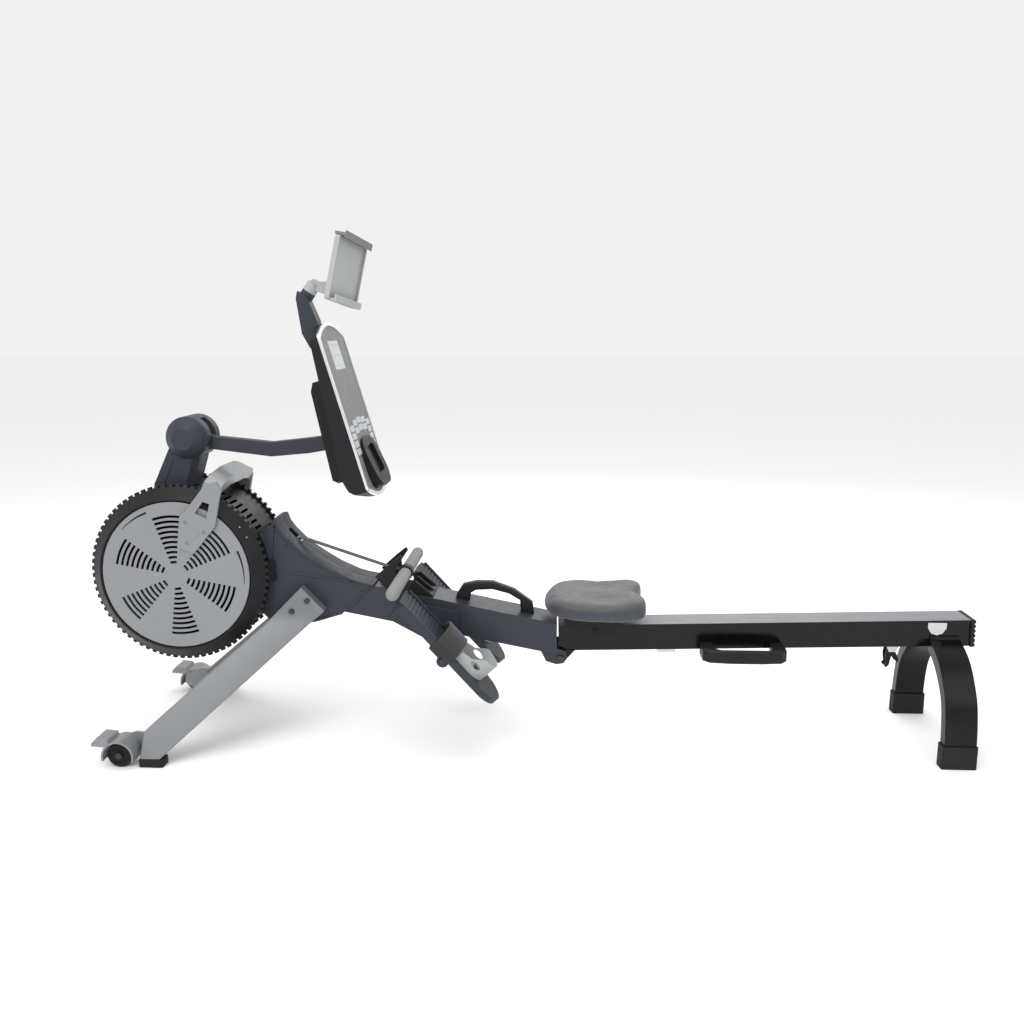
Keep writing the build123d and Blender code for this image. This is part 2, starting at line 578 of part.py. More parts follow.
POD_OUTER = ((40, 154), (-2, 154), (-13, 134), (-30, -88), (-18, -98), (30, -98))
POD_INNER = ((50, 150), (1, 150), (-9.5, 133), (-26.5, -86), (-16, -94), (50, -94))
POD_HALF = 55
with BuildPart() as console_back:
    with BuildSketch(CONSOLE.offset(10)) as shell:
        add(console_outline(0))
    extrude(shell.sketch, amount=CONSOLE_FACE - 6 - 10)
    block(CONSOLE_SIDE, behind(0), -200, 200, Mode.SUBTRACT)
    block(CONSOLE_SIDE, POD_OUTER, -POD_HALF, POD_HALF)
    add(console_hollow.part, mode=Mode.SUBTRACT)
    block(CONSOLE_SIDE, POD_INNER, -POD_HALF + WALL, POD_HALF - WALL, Mode.SUBTRACT)
    # keep the pod's inside from opening the console's front
    with BuildSketch(CONSOLE) as slot:
        with Locations((0, 6)):
            Rectangle(2 * (ARM_HALF + 3), 84)
    extrude(slot.sketch, amount=-60, mode=Mode.SUBTRACT)
    rod(TILT_X, TILT_Z, 5, -POD_HALF + 1, POD_HALF - 1)
    for low in (-POD_HALF + 1, ARM_HALF + 2):
        rod(TILT_X, TILT_Z, 10, low, low + 36)
console_back.part.label = "console_back"
export_step(console_back.part, "parts/console_back.step")

with BuildPart() as console_bezel:
    with BuildSketch(CONSOLE.offset(CONSOLE_FACE - 6)) as trim:
        add(console_outline(0))
        add(console_outline(BEZEL_WIDTH), mode=Mode.SUBTRACT)
    extrude(trim.sketch, amount=6)
console_bezel.part.label = "console_bezel"
export_step(console_bezel.part, "parts/console_bezel.step")

SCREEN_SIZE, SCREEN_AT = (112, 72), 203
with BuildPart() as console_face:
    with BuildSketch(CONSOLE.offset(CONSOLE_FACE - 6)) as panel:
        add(console_outline(BEZEL_WIDTH))
        with Locations((0, SCREEN_AT)):
            Rectangle(*SCREEN_SIZE, mode=Mode.SUBTRACT)
    extrude(panel.sketch, amount=3)
console_face.part.label = "console_face"
export_step(console_face.part, "parts/console_face.step")

with BuildPart() as console_screen:
    with BuildSketch(CONSOLE.offset(CONSOLE_FACE - 6)) as window:
        with Locations((0, SCREEN_AT)):
            Rectangle(*SCREEN_SIZE)
    extrude(window.sketch, amount=2)
console_screen.part.label = "console_screen"
export_step(console_screen.part, "parts/console_screen.step")

KEY_COLUMNS, KEY_ROWS = 5, 4
KEY_PITCH, KEY_SIZE = (47, 19), (42.5, 15.5)
POD_FACE_HALF = 76
with BuildPart() as console_keys:
    with BuildSketch(CONSOLE.offset(CONSOLE_FACE - 3)) as keys:
        for column in range(KEY_COLUMNS):
            across = (column - (KEY_COLUMNS - 1) / 2) * KEY_PITCH[0]
            for row in range(KEY_ROWS):
                height = 36 - row * KEY_PITCH[1] - 14 * (across / 94) ** 2
                if abs(across) > POD_FACE_HALF + 15 or height > 10:
                    with Locations((across, height)):
                        RectangleRounded(*KEY_SIZE, 3)
    extrude(keys.sketch, amount=2)
console_keys.part.label = "console_keys"
export_step(console_keys.part, "parts/console_keys.step")

# the bulge under the keys, with a sloping front and a recess
POD_SLOPE = atan2(18, 116)
pod_middle = local(CONSOLE_SIDE, CONSOLE_FACE + 13, -72)
pod_normal = Vector(cos(LEAN + POD_SLOPE), 0, sin(LEAN + POD_SLOPE))
POD_FRONT = Plane(pod_middle, x_dir=(0, 1, 0), z_dir=pod_normal)
with BuildPart() as console_pod:
    with BuildSketch(POD_FRONT) as front:
        RectangleRounded(2 * POD_FACE_HALF, 130, 50)
    extrude(front.sketch, amount=-70)
    with BuildSketch(POD_FRONT.offset(-10)) as recess:
        with Locations((0, 6)):
            RectangleRounded(78, 74, 10)
    extrude(recess.sketch, amount=20, mode=Mode.SUBTRACT)
    with BuildSketch(CONSOLE.offset(CONSOLE_FACE - 3)) as in_front:
        with Locations((0, -72)):
            Rectangle(260, 150)
    extrude(in_front.sketch, amount=80, mode=Mode.INTERSECT)
console_pod.part.label = "console_pod"
export_step(console_pod.part, "parts/console_pod.step")

# ------------------------------------------------------------ tablet holder
SWIVEL_DIR = Vector(0.555, 0, 0.832)
TABLET_TURN = -13                # turn about the swivel at rest
swivel_line = Axis((SWIVEL_X, 0, SWIVEL_Z), SWIVEL_DIR)
TRAY_LEAN = radians(11)
tray_across = Vector(0, 1, 0).rotate(swivel_line, TABLET_TURN)
tray_facing = Vector(cos(TRAY_LEAN), 0, -sin(TRAY_LEAN)).rotate(swivel_line, TABLET_TURN)
TRAY = Plane((-450, 0, 1170), x_dir=tray_across, z_dir=tray_facing)
TRAY_HALF, TRAY_TALL, TRAY_DEPTH = 85, 76, 27
SWIVEL_PLANE = Plane((SWIVEL_X, 0, SWIVEL_Z), x_dir=(0, 1, 0), z_dir=SWIVEL_DIR)
KNUCKLE_R = 17

with BuildPart() as tablet_arm:
    foot_top, foot_low = local(CONSOLE_SIDE, 46, 283.5), local(CONSOLE_SIDE, 41.6, 235)
    plate(((-565, 1026), (-577, 1110), (-573, 1128), (-549, 1112), (-537, 1083),
           (-526, 1056), (foot_top.X, foot_top.Z), (foot_low.X, foot_low.Z), (-546, 991)),
          -20, 20)
    with BuildSketch(SWIVEL_PLANE.offset(-0.2)) as neck:
        Circle(KNUCKLE_R)
    extrude(neck.sketch, amount=-26)
tablet_arm.part.label = "tablet_arm"
export_step(tablet_arm.part, "parts/tablet_arm.step")

with BuildPart() as tablet_tray:
    with BuildSketch(SWIVEL_PLANE.offset(0.2)) as knuckle:
        Circle(KNUCKLE_R)
    extrude(knuckle.sketch, amount=24)
    plate(((-545, 1150), (-533, 1157), (-518, 1150), (-468, 1152), (-466, 1134),
           (-510, 1121), (-530, 1128)), -12, 12)
    with BuildSketch(TRAY.offset(-12)) as tray_back:
        RectangleRounded(2 * TRAY_HALF, 2 * TRAY_TALL, 8)
    extrude(tray_back.sketch, amount=6)
    with BuildSketch(TRAY.offset(-7)) as tray_rim:
        RectangleRounded(2 * TRAY_HALF, 2 * TRAY_TALL, 8)
        with Locations((0, 6)):
            Rectangle(2 * TRAY_HALF - 12, 2 * TRAY_TALL - 6, mode=Mode.SUBTRACT)
    extrude(tray_rim.sketch, amount=7)
    with BuildSketch(TRAY.offset(-12)) as tray_shelf:
        with Locations((0, -TRAY_TALL + 3)):
            Rectangle(2 * TRAY_HALF - 16, 6)
    extrude(tray_shelf.sketch, amount=TRAY_DEPTH)
    with BuildSketch(TRAY.offset(TRAY_DEPTH - 16)) as tray_lip:
        with Locations((0, -TRAY_TALL + 8)):
            Rectangle(2 * TRAY_HALF - 16, 16)
    extrude(tray_lip.sketch, amount=4)
tablet_tray.part.label = "tablet_tray"
export_step(tablet_tray.part, "parts/tablet_tray.step")

with BuildPart() as tablet_clip:
    with BuildSketch(TRAY.offset(-15.5)) as tongue:
        with Locations((0, 52)):
            Rectangle(60, 64)
    extrude(tongue.sketch, amount=3.2)
    with BuildSketch(TRAY.offset(-15.5)) as clip_top:
        with Locations((0, TRAY_TALL + 4)):
            Rectangle(2 * TRAY_HALF - 8, 7)
    extrude(clip_top.sketch, amount=29)
    with BuildSketch(TRAY.offset(10.5)) as clip_lip:
        with Locations((0, TRAY_TALL + 4)):
            Rectangle(2 * TRAY_HALF - 8, 17)
    extrude(clip_lip.sketch, amount=3)
tablet_clip.part.label = "tablet_clip"
export_step(tablet_clip.part, "parts/tablet_clip.step")

# ------------------------------------------------------------ pull bar and cradle
STRAP_DIR = Vector(-264, 0, 86).normalized()
with BuildPart() as handlebar:
    rod(BAR_X, BAR_Z, BAR_R, -BAR_HALF, BAR_HALF)
    for sign in (-1, 1):
        with Locations((BAR_X, sign * BAR_HALF, BAR_Z)):
            Sphere(BAR_R)
    rod(BAR_X, BAR_Z, COLLAR_R, -14, 14)
    yoke_plane = Plane((BAR_X, 0, BAR_Z), x_dir=STRAP_DIR, z_dir=(0, -1, 0))
    block(yoke_plane, ((0, -4), (44, -4), (44, 4), (0, 4)), -14, 14)
handlebar.part.label = "handlebar"
export_step(handlebar.part, "parts/handlebar.step")

GRIP_IN = 17
with BuildPart() as handle_grips:
    for sign in (-1, 1):
        low, high = sorted((sign * GRIP_IN, sign * BAR_HALF))
        rod(BAR_X, BAR_Z, GRIP_R, low, high)
        with Locations((BAR_X, sign * BAR_HALF, BAR_Z)):
            Sphere(GRIP_R)
        rod(BAR_X, BAR_Z, BAR_R + 0.05, low, high, Mode.SUBTRACT)
        with Locations((BAR_X, sign * BAR_HALF, BAR_Z)):
            Sphere(BAR_R + 0.05, mode=Mode.SUBTRACT)
handle_grips.part.label = "handle_grips"
export_step(handle_grips.part, "parts/handle_grips.step")

with BuildPart() as handle_cradle:
    base = ((-372, on_line(TUBE_TOP, -372) + 0.2), (-250, on_line(TUBE_TOP, -250) + 0.2),
            (-250, on_line(TUBE_TOP, -250) + 5), (-372, on_line(TUBE_TOP, -372) + 5))
    plate(base, -50, 50)
    # hooked fins in front of the bar
    for low in (-50, 44):
        plate(((-372, 398), (-396, 424), (-356, 460), (-331, 480), (-326, 472),
               (-344, 445), (-340, 400), (-330, 392)), low, low + 6)
    # ribs behind the bar
    for low in (-50, -3, 44):
        plate(((-315, 390), (-303, 412), (-294, 415), (-252, 378), (-252, 375)),
              low, low + 6)
    rod(BAR_X, BAR_Z, GRIP_R + 0.6, -60, 60, Mode.SUBTRACT)
    rod(BAR_X, BAR_Z, COLLAR_R + 0.6, -16, 16, Mode.SUBTRACT)
handle_cradle.part.label = "handle_cradle"
export_step(handle_cradle.part, "parts/handle_cradle.step")

# ------------------------------------------------------------ pull strap
STRAP_WIDTH, STRAP_THICK = 22, 2
yoke_end = Vector(BAR_X, 0, BAR_Z) + STRAP_DIR * 44.2
guide = Vector(STRAP_GUIDE[0], 0, STRAP_GUIDE[1])
strap_up = Vector(-STRAP_DIR.Z, 0, STRAP_DIR.X) * -1
guide_reach = STRAP_GUIDE_R + GAP + STRAP_THICK / 2
on_guide = guide + strap_up * guide_reach
with BuildPart() as pull_strap:
    run = on_guide - yoke_end
    strap_plane = Plane(yoke_end, x_dir=(0, 1, 0), z_dir=run.normalized())
    with BuildSketch(strap_plane) as strap_section:
        Rectangle(STRAP_WIDTH, STRAP_THICK)
    extrude(strap_section.sketch, amount=run.length)
pull_strap.part.label = "pull_strap"
export_step(pull_strap.part, "parts/pull_strap.step")

# ------------------------------------------------------------ carry handle
CARRY_OUTER = ((-196, 0), (-194, 371), (-178, 396), (-144, 404), (-102, 404), (-47, 384),
               (0, 350), (4, 0))
CARRY_INNER = ((-30, 0), (-32, 356), (-60, 373), (-102, 384), (-144, 382), (-158, 374),
               (-161, 0))
CARRY_HALF = 13


def carry_outline():
    """The grip's outline in X and Z, standing on the sloping tube."""
    seats = {-196: 0, 4: 0, -30: 0, -161: 0}
    points = []
    for x, z in CARRY_OUTER + CARRY_INNER:
        points.append((x, on_line(TUBE_TOP, x) + 0.2 if x in seats else z))
    return points


with BuildPart() as carry_handle:
    plate(carry_outline(), -CARRY_HALF, CARRY_HALF)
    long_edges = [e for e in carry_handle.edges() if abs(abs(e.center().Y) - CARRY_HALF) < 0.1
                  and e.center().Z > on_line(TUBE_TOP, e.center().X) + 6]
    chamfer(long_edges, 4)
carry_handle.part.label = "carry_handle"
export_step(carry_handle.part, "parts/carry_handle.step")

# ------------------------------------------------------------ footrests
SLOPE = radians(PEDAL_ANGLE)
pedal_down = Vector(cos(SLOPE), 0, -sin(SLOPE))
pedal_up = Vector(sin(SLOPE), 0, cos(SLOPE))
PIVOT = Vector(PEDAL_X, 0, PEDAL_Z) + pedal_down * PIVOT_ALONG - pedal_up * PIVOT_BELOW
PEDAL_TOP, PEDAL_TAIL = -147, 200

with BuildPart() as pedal_bracket:
    for sign in (-1, 1):
        low, high = sorted((sign * (TUBE_HALF + 0.3), sign * (TUBE_HALF + 6.3)))
        plate(((-365, 318), (-325, 368), (-185, 338), (-188, 250), (-200, 238),
               (-222, 240)), low, high)
    rod(PIVOT.X, PIVOT.Z, AXLE_R, -PEDAL_Y - PEDAL_HALF + 4, PEDAL_Y + PEDAL_HALF - 4)
pedal_bracket.part.label = "pedal_bracket"
export_step(pedal_bracket.part, "parts/pedal_bracket.step")

for side, sign in SIDES:
    middle = Vector(PEDAL_X, sign * PEDAL_Y, PEDAL_Z)
    tread = Plane(middle, x_dir=pedal_down, z_dir=pedal_up)
    side_plane = Plane(middle, x_dir=pedal_down, z_dir=(0, -1, 0))
    with BuildPart() as pedal:
        with BuildSketch(tread) as outline:
            with BuildLine():
                tail = PEDAL_TAIL - PEDAL_HALF
                head = PEDAL_TOP
                Polyline((tail, PEDAL_HALF), (head + 12, PEDAL_HALF), (head, PEDAL_HALF - 12),
                         (head, -PEDAL_HALF + 12), (head + 12, -PEDAL_HALF),
                         (tail, -PEDAL_HALF))
                ThreePointArc((tail, -PEDAL_HALF), (PEDAL_TAIL, 0), (tail, PEDAL_HALF))
            make_face()
        extrude(outline.sketch, amount=-PEDAL_THICK)
        # raised ribs under the ball of the foot
        for i in range(9):
            with BuildSketch(tread) as rib:
                with Locations((PEDAL_TOP + 20 + 12 * i, 0)):
                    Rectangle(6, 2 * PEDAL_HALF - 30)
            extrude(rib.sketch, amount=3)
        # side rails of the toe part
        for edge in (-1, 1):
            with BuildSketch(tread) as rail_edge:
                with Locations((-80, edge * (PEDAL_HALF - 5))):
                    Rectangle(118, 8)
            extrude(rail_edge.sketch, amount=6)
        # boss on the axle
        low, high = sorted((sign * (PEDAL_Y - PEDAL_HALF + 8), sign * (PEDAL_Y + PEDAL_HALF - 8)))
        rod(PIVOT.X, PIVOT.Z, 15, low, high)
        rod(PIVOT.X, PIVOT.Z, AXLE_R + GAP, low - 10, high + 10, Mode.SUBTRACT)
    pedal.part.label = f"pedal_{side}"
    export_step(pedal.part, f"parts/pedal_{side}.step")

    # cup for the heel, which slides along the footrest to fit the shoe
    cup_start, cup_end, cup_half, cup_high = 47, 137, 44, 52
    with BuildPart() as heel_cup:
        with BuildSketch(tread.offset(0.4)) as wall:
            for half, mode in ((cup_half, Mode.ADD), (cup_half - 4, Mode.SUBTRACT)):
                with BuildLine():
                    bend = cup_end - cup_half
                    Polyline((bend, half), (cup_start - (0 if mode == Mode.ADD else 1), half),
                             (cup_start - (0 if mode == Mode.ADD else 1), -half),
                             (bend, -half))
                    ThreePointArc((bend, -half), (bend + half, 0), (bend, half))
                make_face(mode=mode)
        extrude(wall.sketch, amount=cup_high)
        with BuildSketch(tread.offset(0.4)) as sole_plate:
            with Locations((cup_start + 28, 0)):
                Rectangle(56, 2 * cup_half)
        extrude(sole_plate.sketch, amount=4)
        # the wall is scooped low at the toe end and has an oval hole each side
        block(side_plane, ((cup_start - 5, 22), (cup_start + 30, 30), (cup_start + 62, 60),
                           (cup_start - 5, 60)), -80, 80, Mode.SUBTRACT)
        with BuildSketch(side_plane.offset(-80)) as ovals:
            with Locations((cup_start + 46, 24)):
                Ellipse(15, 7)
        extrude(ovals.sketch, amount=160, mode=Mode.SUBTRACT)
    heel_cup.part.label = f"heel_cup_{side}"
    export_step(heel_cup.part, f"parts/heel_cup_{side}.step")

    # strap over the instep, closed under the footrest
    strap_low, strap_high = -17, 43
    with BuildPart() as toe_strap:
        with BuildSketch(Plane(middle + pedal_down * strap_low, x_dir=(0, 1, 0),
                               z_dir=pedal_down)) as band:
            for grow, mode in ((3.4, Mode.ADD), (0.4, Mode.SUBTRACT)):
                half = PEDAL_HALF + grow
                with BuildLine():
                    low_h = -PEDAL_THICK - 3 - grow
                    Polyline((-half, 6), (-half, low_h), (half, low_h), (half, 6))
                    ThreePointArc((half, 6), (0, 36 + grow), (-half, 6))
                make_face(mode=mode)
        extrude(band.sketch, amount=strap_high - strap_low)
        rod(PIVOT.X, PIVOT.Z, 18, -300, 300, Mode.SUBTRACT)
    toe_strap.part.label = f"toe_strap_{side}"
    export_step(toe_strap.part, f"parts/toe_strap_{side}.step")

# ------------------------------------------------------------ rail
TILT = radians(RAIL_TILT)
RAIL = Plane((RAIL_START[0], 0, RAIL_START[1]), x_dir=(cos(TILT), 0, sin(TILT)),
             z_dir=(-sin(TILT), 0, cos(TILT)))
RAIL_SIDE = Plane((RAIL_START[0], 0, RAIL_START[1]), x_dir=(cos(TILT), 0, sin(TILT)),
                  z_dir=(0, -1, 0))


def rail_top(x):
    """Height of the rail's top face at x."""
    return RAIL_START[1] + (x - RAIL_START[0]) * tan(TILT)


with BuildPart() as rail:
    with BuildSketch(Plane(RAIL.origin, x_dir=(0, 1, 0), z_dir=RAIL.x_dir)) as section:
        # the sketch's y axis points down the section
        down = -1 if local(Plane(RAIL.origin, x_dir=(0, 1, 0), z_dir=RAIL.x_dir), 0, 1).Z \
            > RAIL.origin.Z else 1
        with Locations((0, down * RAIL_LIP_THICK / 2)):
            Rectangle(2 * RAIL_LIP, RAIL_LIP_THICK)
        with Locations((0, down * RAIL_HEIGHT / 2)):
            Rectangle(2 * RAIL_HALF, RAIL_HEIGHT)
        with Locations((0, down * (RAIL_HEIGHT + RAIL_LIP_THICK - WALL) / 2)):
            Rectangle(2 * (RAIL_HALF - WALL), RAIL_HEIGHT - RAIL_LIP_THICK - WALL,
                      mode=Mode.SUBTRACT)
    extrude(section.sketch, amount=RAIL_LENGTH)
    # lug down to the fold pin, closed front end
    plate(((66.5, 236), (110, 236), (84, 206), (73, 201.5), (62, 206), (60, 215)), -40, 40)
    block(RAIL_SIDE, ((0, -WALL), (5, -WALL), (5, -RAIL_HEIGHT + 1), (0, -RAIL_HEIGHT + 1)),
          -RAIL_HALF, RAIL_HALF)
    rod(FOLD_X, FOLD_Z, 6.1, -60, 60, Mode.SUBTRACT)
rail.part.label = "rail"
export_step(rail.part, "parts/rail.step")

CAP_LENGTH = 12
with BuildPart() as rail_end_cap:
    block(RAIL_SIDE, ((RAIL_LENGTH, 1), (RAIL_LENGTH + CAP_LENGTH - 3, 1),
                      (RAIL_LENGTH + CAP_LENGTH - 3, -RAIL_HEIGHT - 1),
                      (RAIL_LENGTH, -RAIL_HEIGHT - 1)), -RAIL_LIP - 1, RAIL_LIP + 1)
    for i in range(6):
        low = -RAIL_HEIGHT - 1 + i * 12
        block(RAIL_SIDE, ((RAIL_LENGTH + CAP_LENGTH - 3, low), (RAIL_LENGTH + CAP_LENGTH, low + 2),
                          (RAIL_LENGTH + CAP_LENGTH, low + 8),
                          (RAIL_LENGTH + CAP_LENGTH - 3, low + 10)), -RAIL_LIP - 1, RAIL_LIP + 1)
    block(RAIL_SIDE, ((RAIL_LENGTH - 20, -8), (RAIL_LENGTH, -8),
                      (RAIL_LENGTH, -RAIL_HEIGHT + 6), (RAIL_LENGTH - 20, -RAIL_HEIGHT + 6)),
          -RAIL_HALF + WALL, RAIL_HALF - WALL)
rail_end_cap.part.label = "rail_end_cap"
export_step(rail_end_cap.part, "parts/rail_end_cap.step")

# carrying grip on the side of the rail, bowed outward
GRIP_X, GRIP_LENGTH, GRIP_REACH, GRIP_TALL = 526, 205, 76, 32
grip_plane = Plane((GRIP_X, 0, rail_top(GRIP_X) - 67), x_dir=(1, 0, 0), z_dir=(0, 0, 1))
with BuildPart() as rail_handle:
    with BuildSketch(grip_plane.offset(-GRIP_TALL / 2)) as bow:
        half = GRIP_LENGTH / 2
        wall_y = -RAIL_HALF - 0.1
        out = wall_y - GRIP_REACH
        with BuildLine():
            Polyline((-half, wall_y), (-half, out + 18), (-half + 14, out + 3), (-40, out - 3),
                     (40, out - 3), (half - 14, out + 3), (half, out + 18), (half, wall_y),
                     (half - 30, wall_y), (half - 34, out + 26), (half - 46, out + 18),
                     (-half + 46, out + 18), (-half + 34, out + 26), (-half + 30, wall_y),
                     close=True)
        make_face()
    extrude(bow.sketch, amount=GRIP_TALL)
    rail_edges = [e for e in rail_handle.edges() if abs(e.tangent_at(0.5).Z) < 0.1
                  and e.center().Y < wall_y - 30]
    chamfer(rail_edges, 4)
rail_handle.part.label = "rail_handle"
export_step(rail_handle.part, "parts/rail_handle.step")

# ------------------------------------------------------------ rear legs
REAR_X, REAR_WIDE, REAR_THICK, REAR_Y = 1028, 76, 26, 171
for side, sign in SIDES:
    outer = [(38, 279), (64, 268), (111, 240), (140, 206), (163, 170), (178, 120), (184, 70)]
    inner = [(158, 70), (152, 118), (140, 158), (119, 190), (95, 215), (60, 240), (38, 250)]
    with BuildPart() as rear_leg:
        with BuildSketch(Plane.YZ.offset(REAR_X - REAR_WIDE / 2)) as leg_side:
            with BuildLine():
                outside = Spline(*[(sign * y, z) for y, z in outer])
                inside = Spline(*[(sign * y, z) for y, z in inner])
                ankle = Polyline(outside @ 1, (sign * 184, 6), (sign * 158, 6), inside @ 0)
                Line(inside @ 1, outside @ 0)
            make_face()
        extrude(leg_side.sketch, amount=REAR_WIDE)
        # mounting plate against the side of the rail
        low, high = sorted((sign * (RAIL_HALF + 0.2), sign * (RAIL_HALF + 5)))
        plate(((REAR_X - 36, rail_top(REAR_X) - 62), (REAR_X + 36, rail_top(REAR_X) - 62),
               (REAR_X + 36, rail_top(REAR_X) - 41), (REAR_X - 36, rail_top(REAR_X) - 41)),
              low, high)
    rear_leg.part.label = f"rear_leg_{side}"
    export_step(rear_leg.part, f"parts/rear_leg_{side}.step")

REAR_FOOT_HIGH = 57
with BuildPart() as rear_feet:
    for sign in (-1, 1):
        with BuildSketch(Plane.XY) as boot:
            with Locations((REAR_X, sign * REAR_Y)):
                RectangleRounded(REAR_WIDE + 8, REAR_THICK + 9, 5)
        extrude(boot.sketch, amount=REAR_FOOT_HIGH)
        with BuildSketch(Plane.XY.offset(6)) as sock:
            with Locations((REAR_X, sign * REAR_Y)):
                Rectangle(REAR_WIDE, REAR_THICK)
        extrude(sock.sketch, amount=REAR_FOOT_HIGH, mode=Mode.SUBTRACT)
rear_feet.part.label = "rear_feet"
export_step(rear_feet.part, "parts/rear_feet.step")

# ------------------------------------------------------------ latch under the rail
LATCH_X = 908
LATCH_Z = rail_top(LATCH_X) - RAIL_HEIGHT - 12
with BuildPart() as rail_fittings:
    for sign in (-1, 1):
        low, high = sorted((sign * (RAIL_HALF + 0.1), sign * (RAIL_HALF + 3)))
        top = rail_top(985) - RAIL_LIP_THICK - 0.3
        plate(((985, top), (1031, top), (1031, top - 14), (1022, top - 28), (1008, top - 33),
               (994, top - 28), (985, top - 14)), low, high)
        low, high = sorted((sign * 14, sign * 18))
        under = rail_top(LATCH_X - 14) - RAIL_HEIGHT - 0.2
        plate(((LATCH_X - 14, under), (LATCH_X + 20, under + 0.5), (LATCH_X + 10, under - 20),
               (LATCH_X - 6, under - 20)), low, high)
    rod(LATCH_X, LATCH_Z, 4, -18, 18)
    stop_low, stop_high = -RAIL_HEIGHT - 14, -RAIL_HEIGHT - 0.2
    block(RAIL_SIDE, ((251, stop_high), (298, stop_high), (298, stop_low), (251, stop_low)),
          -20, 20)
rail_fittings.part.label = "rail_fittings"
export_step(rail_fittings.part, "parts/rail_fittings.step")

HOOK = ((-8, 6), (8, 6), (12, -8), (22, -30), (18, -40), (12, -30), (3, -20), (-2, -46),
        (-10, -52), (-14, -44), (-9, -40), (-12, -18))
with BuildPart() as latch_hooks:
    for low in (-12, 8):
        plate([(LATCH_X + x, LATCH_Z + z) for x, z in HOOK], low, low + 4)
    rod(LATCH_X, LATCH_Z, 7, -12, 12)
    rod(LATCH_X, LATCH_Z, 4.1, -20, 20, Mode.SUBTRACT)
latch_hooks.part.label = "latch_hooks"
export_step(latch_hooks.part, "parts/latch_hooks.step")

# ------------------------------------------------------------ seat
SEAT_LENGTH, SEAT_HALF, SEAT_LOW, SEAT_HIGH = 264, 141, 334, 386
PLATE_Z, PLATE_THICK = 336, 4.3
with BuildPart() as seat_cushion:
    with BuildSketch(Plane.XY.offset(SEAT_LOW)) as seat_plan:
        with BuildLine():
            front = SEAT_X - SEAT_LENGTH / 2
            rear = SEAT_X + SEAT_LENGTH / 2
            Spline((front, 0), (front + 14, -80), (front + 70, -SEAT_HALF + 6),
                   (SEAT_X + 20, -SEAT_HALF), (rear - 22, -SEAT_HALF + 22), (rear, -75),
                   (rear - 16, 0), (rear, 75), (rear - 22, SEAT_HALF - 22),
                   (SEAT_X + 20, SEAT_HALF), (front + 70, SEAT_HALF - 6), (front + 14, 80),
                   periodic=True)
        make_face()
    extrude(seat_plan.sketch, amount=SEAT_HIGH - SEAT_LOW)
    fillet(seat_cushion.faces().sort_by(Axis.Z)[-1].edges(), 14)
    # pocket for the carriage's plate
    with BuildSketch(Plane.XY.offset(SEAT_LOW)) as pocket:
        with Locations((SEAT_X, 0)):
            RectangleRounded(194, 154, 14)
    extrude(pocket.sketch, amount=PLATE_Z + PLATE_THICK + 0.2 - SEAT_LOW, mode=Mode.SUBTRACT)
seat_cushion.part.label = "seat_cushion"
export_step(seat_cushion.part, "parts/seat_cushion.step")

SKIRT_IN, SKIRT_OUT = 44, 47
ROLLER_XS = (SEAT_X - 55, SEAT_X + 55)
GUIDE_Z = rail_top(SEAT_X) - RAIL_LIP_THICK - 9.4
with BuildPart() as seat_carriage:
    with BuildSketch(Plane.XY.offset(PLATE_Z)) as seat_base:
        with Locations((SEAT_X, 0)):
            RectangleRounded(190, 150, 12)
    extrude(seat_base.sketch, amount=PLATE_THICK)
    for low in (-SKIRT_OUT, SKIRT_IN):
        plate(((76, PLATE_Z), (240, PLATE_Z), (222, 303), (200, 274), (122, 271), (84, 303)),
              low, low + 3)
        for x in ROLLER_XS:
            rod(x, rail_top(x) + ROLLER_R + GAP, 4.1, low - 1, low + 4, Mode.SUBTRACT)
    # guide rollers on bolts run under the lips of the rail's top plate
    for sign in (-1, 1):
        low, high = sorted((sign * (RAIL_HALF + 0.4), sign * (RAIL_HALF + 4.2)))
        rod(SEAT_X, GUIDE_Z, 8.5, low, high)
        low, high = sorted((sign * (RAIL_HALF + 4), sign * (SKIRT_OUT + 5)))
        rod(SEAT_X, GUIDE_Z, 5, low, high)
seat_carriage.part.label = "seat_carriage"
export_step(seat_carriage.part, "parts/seat_carriage.step")

for place, x in zip(("front", "rear"), ROLLER_XS):
    axle_z = rail_top(x) + ROLLER_R + GAP
    with BuildPart() as seat_rollers:
        turned(x, axle_z, ((0, -49), (4, -49), (4, -36), (ROLLER_R - 1, -36), (ROLLER_R, -35),
                           (ROLLER_R, -21), (ROLLER_R - 1, -20), (4, -20), (4, 20),
                           (ROLLER_R - 1, 20), (ROLLER_R, 21), (ROLLER_R, 35),
                           (ROLLER_R - 1, 36), (4, 36), (4, 49), (0, 49)))
    seat_rollers.part.label = f"seat_rollers_{place}"
    export_step(seat_rollers.part, f"parts/seat_rollers_{place}.step")

# ------------------------------------------------------------ fasteners
with BuildPart() as frame_bolts:
    for sign in (-1, 1):
        face = LEG_IN + LEG_THICK
        for x, z in ((-600, 345), (-560, 372)):
            low, high = sorted((sign * face, sign * (face + 5)))
            rod(x, z, 7, low, high)
        for x, z in ((-640, 545), (-430, 385), (-620, 500)):
            low, high = sorted((sign * COVER_HALF, sign * (COVER_HALF + 1.5)))
            rod(x, z, 4, low, high)
        low, high = sorted((sign * (WHEEL_Y + 17), sign * (WHEEL_Y + 20)))
        rod(WHEEL_X, WHEEL_Z, 8, low, high)
frame_bolts.part.label = "frame_bolts"
export_step(frame_bolts.part, "parts/frame_bolts.step")

with BuildPart() as fold_pin:
    rod(FOLD_X, FOLD_Z, 6, -52, 52)
    for sign in (-1, 1):
        low, high = sorted((sign * 50, sign * 56))
        rod(FOLD_X, FOLD_Z, 9.5, low, high)
fold_pin.part.label = "fold_pin"
export_step(fold_pin.part, "parts/fold_pin.step")
